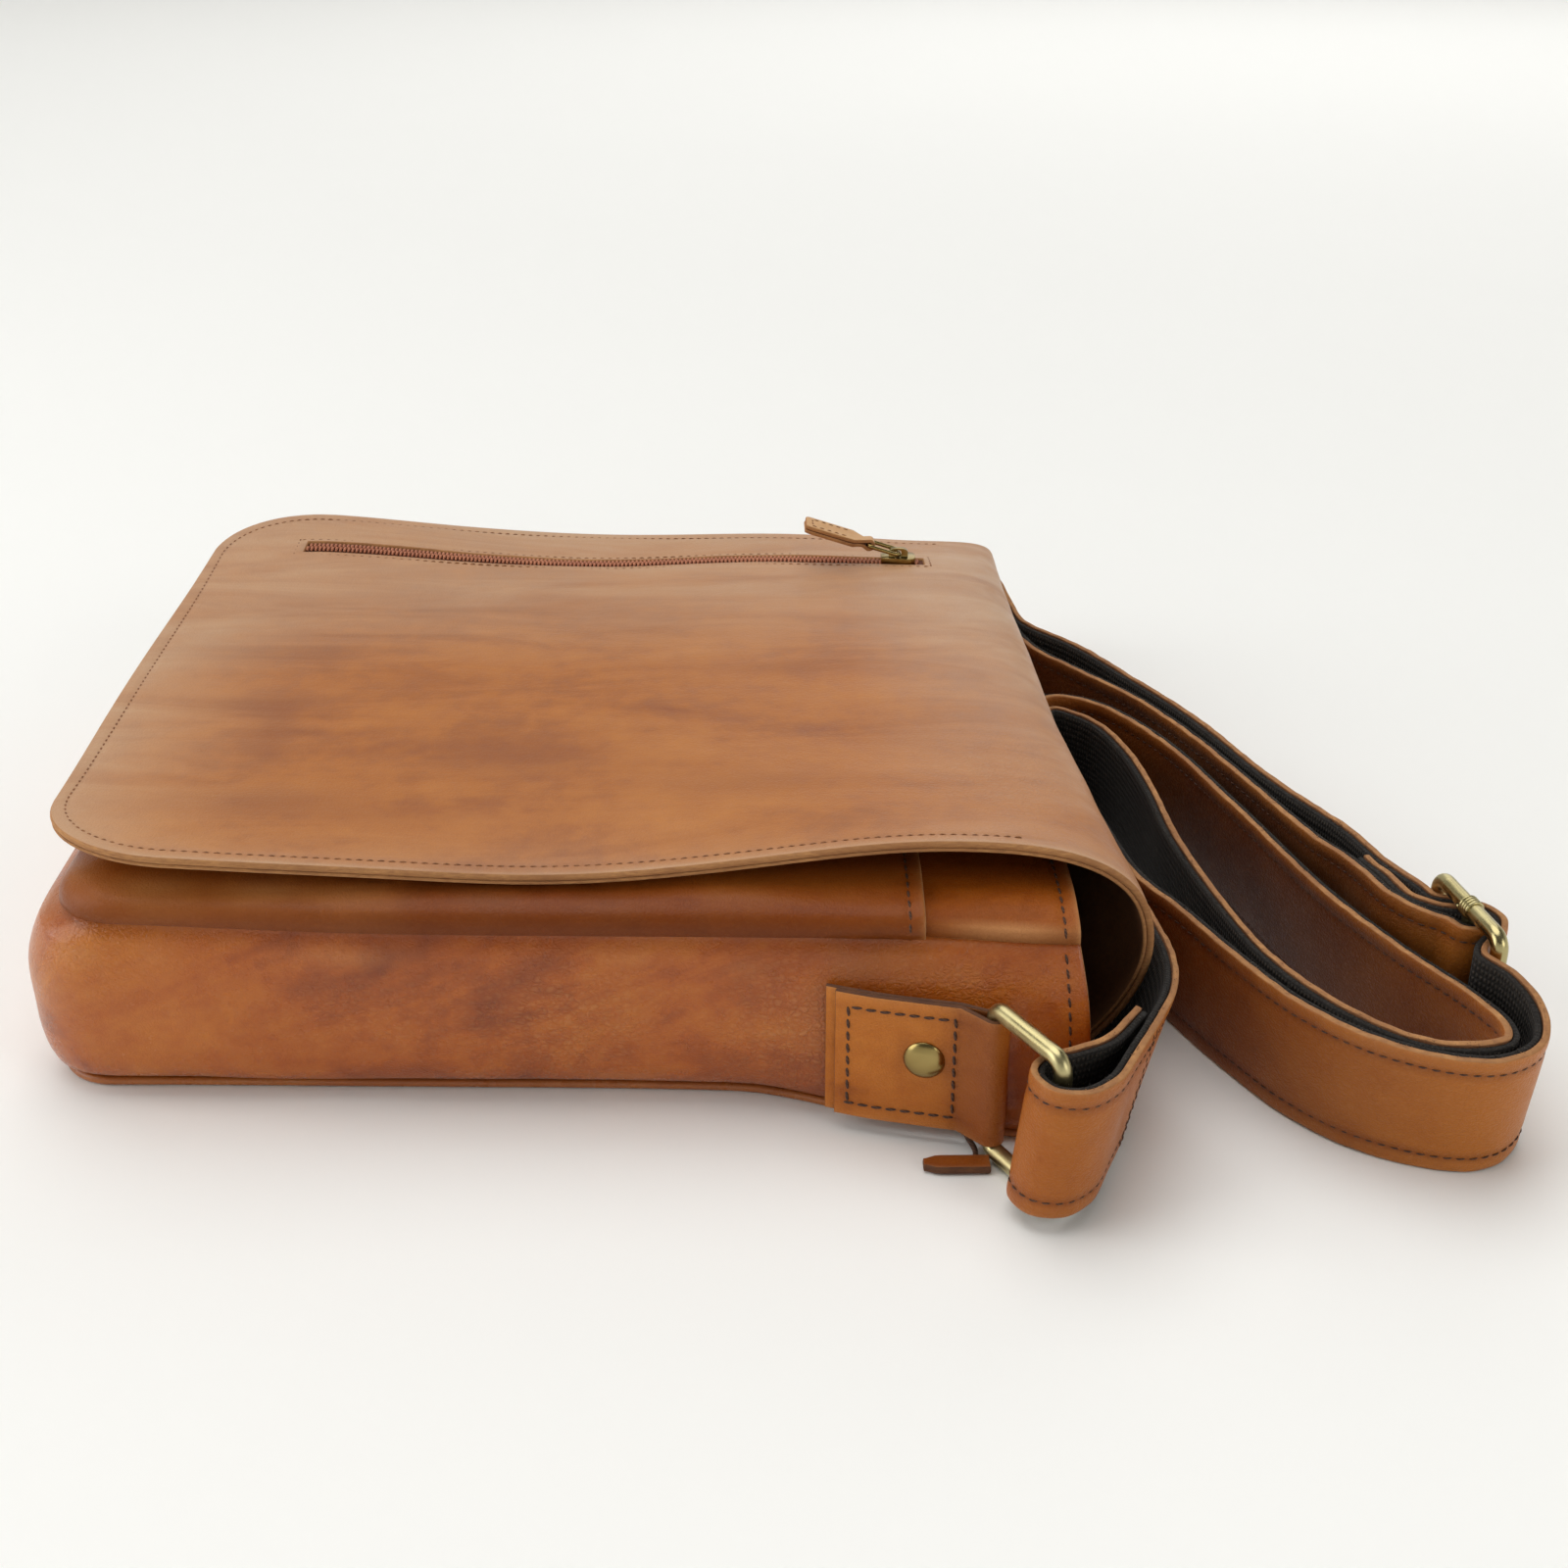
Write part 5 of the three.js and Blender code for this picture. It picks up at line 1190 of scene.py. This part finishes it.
# strap on the table, from its end sewn at the near ring to its end sewn at the slider: x and y from above,
# the share of its lift at the fittings, and the lean of its lower edge in x and y; what is left out is zero
strapRoute = [
    (141.5, -169, 1, -8), (131, -183, 1, -6.5), (121, -188.5, 1, -5), (113.2, -191.5, 1, -4.5),
    (109.8, -197.5, 1, -4.5), (113.2, -204.5, 1, -4.5), (121, -206, 1, -5), (129, -200.5, 1, -5.5),
    (136, -188.5, 1, -6.5), (144.6, -172, 0.9, -8), (152, -155, 0.7, -12), (155, -137, 0.5, -16),
    (153.4, -112, 0.3, -13), (149.3, -86, 0.2, -7), (144.3, -54, 0.1, -3), (139.3, -15), (137.3, 15),
    (138, 36), (143.5, 47), (153, 47), (163.5, 39.5), (179.5, 11.5), (195.5, -41), (210.3, -96),
    (224, -130.5, 0.02), (236, -154.5, 0.05, 0, 1.5), (241, -170, 0.06, 0, 4), (239.2, -178, 0.06, 0, 5),
    (231, -181.2, 0.06, 0, 5), (216.5, -179.3, 0.06, 0, 4.5), (199.4, -164, 0.06, 0, 3.5),
    (184.2, -136, 0.05, 0, 2), (176.7, -105, 0.02), (170.2, -61.5), (168.6, -27), (165.1, 1.5),
    (158.8, 22.3), (150.5, 32.8), (145.8, 35.8), (142.6, 33), (142.1, 25), (142.4, 8), (144.6, -15),
    (149.5, -54), (155.2, -85.5), (164.5, -106, 0.02), (176, -134.5, 0.05, 0, 2),
    (187.7, -158, 0.06, 0, 3.5), (203.3, -175.8, 0.06, 0, 4.5), (222, -185.8, 0.06, 0, 5),
    (234.5, -186.7, 0.08, 0, 5), (246, -179.5, 0.12, -2, 4), (250.6, -165, 0.4, -2), (247.2, -151.7, 0.9),
    (242, -141.9, 1), (245.9, -134.2, 1), (251, -129.6, 1), (253.6, -121.4, 1), (250.2, -115.2, 1),
    (244.5, -111.5, 1), (238, -108.7, 1), (236.2, -103.5, 1), (233.4, -94.2, 0.8), (230.3, -80, 0.4),
    (226, -60, 0.15), (210, -21), (193.3, 28), (178, 61), (160.5, 95), (143.7, 117, 0.1), (140, 137, 0.4),
    (136.3, 156, 0.9), (129.5, 171.5, 1), (124, 180.3, 1), (118.3, 179.8, 1), (116.5, 175.5, 1),
    (119.5, 170.3, 1), (125.5, 166.5, 1), (131, 158, 1), (134.8, 143, 0.8), (137.5, 125, 0.5),
    (140, 108, 0.3), (146, 91, 0.1), (160, 71), (177.5, 44.5), (192.4, 11), (207.5, -38, 0.1),
    (215.5, -66, 0.3), (221, -81.5, 0.6), (223.7, -95.6, 0.9), (226.6, -106.9, 1), (233, -116.4, 1),
    (238.2, -120.8, 1), (239.9, -123.6, 1), (241.6, -126.4, 1), (244.6, -127.4, 1), (247.4, -126.2, 1),
    (248.9, -122.6, 1), (245.2, -117.6, 1), (237.4, -114.5, 1), (231, -108.2, 1), (228, -95, 0.9),
    (225.2, -81.2, 0.6),
]
strapSteps = dict(straight=3.2, bend=0.13)  # longest step along it, and sharpest turn in a step


def strapLine():  # smooth line through the route, with its points close together where it bends
    rows = np.array([row + (0,) * (5 - len(row)) for row in strapRoute], float)
    plan = rows[:, :2]
    p = np.concatenate([[2 * plan[0] - plan[1]], plan, [2 * plan[-1] - plan[-2]]])
    t = np.linspace(0, 1, 60, endpoint=False)[:, None]
    places = []
    for k in range(1, len(p) - 2):
        a, b, c, d = p[k - 1:k + 3]
        d0, d1, d2 = (math.sqrt(np.linalg.norm(step)) for step in (b - a, c - b, d - c))
        m1 = ((b - a) / d0 - (c - a) / (d0 + d1) + (c - b) / d1) * d1
        m2 = ((c - b) / d1 - (d - b) / (d1 + d2) + (d - c) / d2) * d1
        square, cube = 3 * c - 3 * b - 2 * m1 - m2, 2 * b - 2 * c + m1 + m2
        places.append(b + m1 * t + square * t ** 2 + cube * t ** 3)
    places = np.concatenate(places + [plan[-1:]])
    at = np.append((np.arange(len(rows) - 1)[:, None] + t[:, 0]).ravel(), len(rows) - 1)
    steps = np.diff(places, axis=0)
    heading = np.unwrap(np.arctan2(steps[:, 1], steps[:, 0]))
    turned = np.abs(np.diff(heading, prepend=heading[0]))
    needed = np.linalg.norm(steps, axis=1) / strapSteps["straight"] + turned / strapSteps["bend"]
    measure = np.concatenate([[0], np.cumsum(needed)])
    take = np.linspace(0, measure[-1], int(measure[-1]) + 1)
    x, y, row = (np.interp(take, measure, values) for values in (places[:, 0], places[:, 1], at))
    table = [dict(at=i, lift=r[2], leanX=r[3], leanY=r[4]) for i, r in enumerate(rows)]
    lift, leanX, leanY = (column(table, "at", key, row) for key in ("lift", "leanX", "leanY"))
    return np.column_stack([x, y]), row, lift, leanX, leanY


strapPlan, strapRow, strapLift, strapLeanX, strapLeanY = strapLine()
strapRun = lengthAlong(strapPlan)


def strapGrid(heights):
    below = 1 - heights / strap["wide"]
    x = strapPlan[:, :1] + strapLeanX[:, None] * below
    y = strapPlan[:, 1:] + strapLeanY[:, None] * below
    return np.stack([x, y, strapLift[:, None] * strap["lift"] + heights], -1)


sewnAt = 5  # the step from the edge that lies on the stitches
strapEdge = np.array([0, 0.45, 1.4, 2.9, strap["stitchIn"] - 0.7, strap["stitchIn"], strap["stitchIn"] + 0.7,
                      7.4, 11.7, 16.4])
strapAcross = np.concatenate([strapEdge, [strap["wide"] / 2], strap["wide"] - strapEdge[::-1]])
skin = gap / 2
strapTop = skin + strap["leather"]
edgeIn = np.minimum(strapAcross, strap["wide"] - strapAcross)[None, :]
alongStrap, rowAt = strapRun[:, None], strapRow[:, None]
strapSheet = strapGrid(strapAcross)
strapSheet[..., 2] += strap["ragged"] * np.exp(-edgeIn / 0.9) * ripple(alongStrap, edgeIn * 0, 11, 53)
strapSheet[..., 2] = np.maximum(strapSheet[..., 2], strap["low"])
strapPress = strap["press"] * bell(edgeIn - strap["stitchIn"], 0.8) + strap["edgePress"] * bell(edgeIn, 0.6)
strapPuff = strap["puff"] * ripple(alongStrap, strapAcross[None, :], 60, 51)
# painted shade: darker inside the strap's loops, where little light reaches
insideLoops = [dict(row=22, reach=4.2), dict(row=40, reach=7), dict(row=86, reach=6)]
loopShade = np.max([bell(rowAt - b["row"], b["reach"]) for b in insideLoops], axis=0)
patches = np.clip(ripple(alongStrap, edgeIn, 130, 52), 0, 1)
# painted shade along the stitch groove, with darker patches in the leather
shade = 0.45 * bell(edgeIn - strap["stitchIn"], 1.1) + 0.3 * patches
# painted shade along rows 43 to 47, which face away from the light; row 5 a little darker
shade = shade + 0.75 * bell(rowAt - 44.6, 2.4) + 0.2 * bell(rowAt - 5, 3)
strapMarks = dict(
    shade=np.clip(shade, 0, 1),
    wearAndSheen=np.clip(0.5 * np.exp(-edgeIn / 0.6) + 0.1 * bell(edgeIn - 2.5, 1.2), 0, 1),
    crease=0.3,
    # painted light about row 50, where the strap faces the front light
    glow=1.2 * bell(rowAt - 50, 2.8),
    loopShadeMark=loopShade * (0.5 + 0.5 * rise(edgeIn / 3)))
leatherSheet("strap_leather_band", strapSheet, strapTop - strapPress + strapPuff, skin,
             [strapTan, rawEdge, suede], marks=strapMarks, bulge=0.12, stands=["strap_leather"],
             slot="flap_leather")
webAcross = np.linspace(strap["inset"], strap["wide"] - strap["inset"], 12)
leatherSheet("strap_webbing_band", strapGrid(webAcross), -skin, -skin - strap["webbing"], [webbing] * 3,
             bulge=0.2, stands=["strap_webbing"], slot="webbing")
strapNormal = gridNormals(strapSheet)
strapRuns = []


def sewStrap(pick, sink):
    strapRuns.append((strapSheet[pick] + strapNormal[pick] * (strapTop - sink), strapNormal[pick]))


for level in (sewnAt, len(strapAcross) - 1 - sewnAt):
    sewStrap((slice(None), level), strap["stitchSink"])
for back in strap["endRows"]:  # rows across the two sewn ends
    for fromEnd in (strapRun, strapRun[-1] - strapRun):
        sewStrap((int(np.argmin(np.abs(fromEnd - back))), slice(3, -3)), strap["endSink"])
for row in (8.5, 8.72):  # the near end is sewn down with two rows behind the ring
    sewStrap((int(np.argmin(np.abs(strapRow - row))), slice(2, -2)), strap["endSink"])
stitchRow("strap_stitches", strapRuns, stitchDark, pitch=3.5,
          look=dict(stitchLook, long=2.5, wide=0.62, high=0.48), slot="flap_leather")
fibre = dict(sunk=0.2, thick=0.1, thin=0.08, webbingIn=0.1, leatherIn=0.5)


def fuzz(name, line, normals, perMm, long, mat, seed, **rest):  # short loose fibres along a cut edge
    rng = np.random.default_rng(seed)
    run = lengthAlong(line)
    at = rng.uniform(0, run[-1], int(run[-1] * perMm))
    root, out = sample(at, run, line), unit(sample(at, run, normals))
    many = len(at)
    root = root + out * rng.uniform(-0.5, 0.5, (many, 1))
    upward = np.array([0, 0, 1.0]) * rng.uniform(0.3, 1, (many, 1))
    outward = out * rng.uniform(-0.9, 0.9, (many, 1))
    lean = unit(upward + outward + rng.uniform(-0.8, 0.8, (many, 3)) * [1, 1, 0.3])
    bend = unit(lean + rng.uniform(-0.9, 0.9, (many, 3)))
    half = long * rng.uniform(0.4, 1.0, (many, 1)) * 0.5
    side = unit(np.cross(lean, [0.3, 0.5, 0.81]))
    other = np.cross(lean, side)
    rings = []
    low, middle = root - lean * fibre["sunk"], root + lean * half
    for centre, thick in ((low, fibre["thick"]), (middle, fibre["thin"])):
        for a in np.arange(3) / 3 * math.tau:
            rings.append(centre + (side * math.cos(a) + other * math.sin(a)) * thick)
    points = np.stack(rings + [middle + bend * half], 1).reshape(-1, 3)
    shape = [[0, 2, 1], [0, 1, 4, 3], [1, 2, 5, 4], [2, 0, 3, 5], [3, 4, 6], [4, 5, 6], [5, 3, 6]]
    faces = [[7 * k + q for q in face] for k in range(many) for face in shape]
    makePiece(name, points, faces, [mat], **rest)


topNormal = strapNormal[:, -1]
webTop = strapGrid(np.array([strap["wide"] - strap["inset"] - fibre["webbingIn"]]))[:, 0]
fuzz("webbing_fuzz", webTop - topNormal * (skin + strap["webbing"] / 2), topNormal, perMm=2.6, long=1.5,
     mat=fibreDark, seed=61, slot="webbing")
fuzz("strap_fuzz", strapSheet[:, -1] + topNormal * (skin + fibre["leatherIn"]), topNormal, perMm=1.0,
     long=0.9, mat=fibreTan, seed=62, slot="flap_leather")
print("strap made, length", round(strapRun[-1]), "mm")

# three-bar slider with wound wire where the middle bar meets the frame
slider = dict(near=(247.3, -141), centre=(244.4, -122.75), far=(241.5, -104.5), cornerR=4, centreR=2.0,
              coilWire=0.55, coilTurns=4, coilPitch=2.15, coilSteps=26, coilSeat=0.9)


def strapSlider():
    near, centre, far = (np.array(slider[key], float) for key in ("near", "centre", "far"))
    along = wireFrame("strap_slider_frame", near, far, slider["cornerR"], slider["cornerR"], "strap_slider")
    bar = np.array([[*centre, ring["low"] + ringHigh * t] for t in np.linspace(0.0, 1.0, 24)])
    points, faces = roundWire([(bar, False)], slider["centreR"], 16)
    makePiece("strap_slider_bar", points, faces, [brass], slot="brass")
    wire, turns = slider["coilWire"], slider["coilTurns"]
    outR = ring["wire"] + wire * slider["coilSeat"]
    turn = np.linspace(0, math.tau * turns, slider["coilSteps"] * turns)
    shift = (turn / turn[-1] - 0.5) * turns * wire * slider["coilPitch"]
    plan = centre + along * shift[:, None] + np.array([-along[1], along[0]]) * (outR * np.cos(turn))[:, None]
    wraps = []
    for z in (ring["low"], ringTop):  # the lower coil is pressed flat by the table
        wraps.append((np.column_stack([plan, np.maximum(z + outR * np.sin(turn), wire)]), False))
    points, faces = roundWire(wraps, wire, 8)
    makePiece("strap_slider_coils", points, faces, [brass], slot="brass")


rear = dict(tipX=83, long=18, y=-180, wide=5.4, thick=2.3, taper=4, thongX=96.8, thong=0.8, rise=1.3,
            sway=0.9)


def rearPull():  # strip that peeps out under the near corner of the mouth, on a thong
    along = np.array([0, 0.25, 0.8, 1.8, 3.2, 5, 7.5, 10.5, 13.5, 15.8, 17, 17.7, rear["long"]])[:, None]
    across = np.linspace(-1, 1, 9)
    half = rear["wide"] / 2 * (0.5 + 0.5 * rise(along / rear["taper"]))
    grid = np.stack(np.broadcast_arrays(rear["tipX"] + along, rear["y"] + half * across, rear["rise"]), -1)
    edge = np.abs(across) ** 4
    # painted shade darkens the whole strip, which lies in the shade under the bag's near corner
    marks = dict(shade=0.5 + 0.3 * edge, wearAndSheen=0.3 * edge)
    leatherSheet("rear_pull_leather", grid, rear["thick"] / 2, -rear["thick"] / 2,
                 [strapTan, burntEdge, suede], bulge=0.2, marks=marks, stands=["rear_pull"],
                 slot="flap_leather")
    start, end = rear["y"] + 0.5, -float(baseHalf(rear["thongX"], -1)) - 0.2
    share = np.linspace(0, 1, 16)
    sway = rear["sway"] * np.sin(share * 5)
    line = np.column_stack([rear["thongX"] + sway, start + (end - start) * share, np.full(16, rear["rise"])])
    points, faces = roundWire([(line, False)], rear["thong"], 10)
    makePiece("rear_pull_thong", points, faces, [stitchDark], slot="flap_leather")


strapSlider()
rearPull()
print("slider and rear pull made")

# floor, light and camera, in metres
room = dict(flat=3.6, wall=5.2, high=3.2, below=0.0004, sides=72, steps=16, near=0.9, far=3.0)


def paperRoom():  # pale paper that turns up into a wall all round
    turn = np.arange(room["sides"]) / room["sides"] * math.tau
    points = []
    for t in np.linspace(0, math.pi / 2, room["steps"]):
        r = room["flat"] + (room["wall"] - room["flat"]) * math.sin(t)
        z = room["high"] * (1 - math.cos(t)) - room["below"]
        points += [(r * math.cos(a), r * math.sin(a), z) for a in turn]
    data = bpy.data.meshes.new("floor")
    data.from_pydata(points, [], [list(range(room["sides"]))] + bandFaces(room["steps"], room["sides"]))
    data.shade_smooth()
    g = Graph("paper")
    close = g.tint(g.noise(g.place, 3, 2), (0.925, 0.92, 0.89), (0.94, 0.935, 0.905))
    reach = g.nodes.new("ShaderNodeVectorMath")
    reach.operation = "LENGTH"
    g.join(g.place, reach.inputs[0])
    g.colour(g.tint(g.span(reach.outputs["Value"], room["near"], room["far"]), close, (0.99, 0.985, 0.955)))
    g.shader.inputs["Roughness"].default_value = 0.85
    data.materials.append(g.mat)
    floor = linked("floor", data)


def facing(direction):
    return direction.to_track_quat("-Z", "Y").to_euler()


paperRoom()
sky = dict(strength=0.12, colour=(0.99, 1.0, 0.975), sunPower=1.7, sunSpread=58, sunFrom=(-0.2, 0.4, 1.2))
lights = [  # soft boxes
    dict(name="left", at=(-1.5, -0.3, 0.8), aim=(-0.12, 0.0, 0.04), size=1.2, power=12),
    dict(name="right", at=(1.1, -1.0, 0.8), aim=(0.1, -0.1, 0.03), size=0.7, power=3.3),
    dict(name="back", at=(0.9, 2.4, 1.6), aim=(0.1, 0.0, 0.05), size=1.8, power=11),
    dict(name="far", at=(-0.9, 2.7, 1.5), aim=(-0.8, 2.5, 0.0), size=1.8, power=1.8),
]
for look in lights:
    lamp = bpy.data.lights.new(look["name"], "AREA")
    lamp.shape = "SQUARE"
    lamp.size = look["size"]
    lamp.energy = look["power"]
    softBox = linked(look["name"], lamp)
    softBox.location = look["at"]
    softBox.rotation_euler = facing(Vector(look["aim"]) - Vector(look["at"]))
sun = bpy.data.lights.new("overhead", "SUN")
sun.energy = sky["sunPower"]
sun.angle = math.radians(sky["sunSpread"])
linked("overhead", sun).rotation_euler = facing(-Vector(sky["sunFrom"]))
world = bpy.data.worlds.new("studio")
world.use_nodes = True
world.node_tree.nodes["Background"].inputs["Color"].default_value = (*sky["colour"], 1)
world.node_tree.nodes["Background"].inputs["Strength"].default_value = sky["strength"]
bpy.context.scene.world = world
bpy.context.scene.view_settings.view_transform = "Standard"

view = dict(at=(0.0369, -0.6347, 0.347), down=26.72, turn=-1.0, lens=47.25, sensor=36)
lens = bpy.data.cameras.new("camera")
lens.sensor_width = view["sensor"]
lens.lens = view["lens"]
camera = linked("camera", lens)
camera.location = view["at"]
camera.rotation_euler = (math.radians(90 - view["down"]), 0, math.radians(view["turn"]))
bpy.context.scene.camera = camera
print("floor, light and camera set")
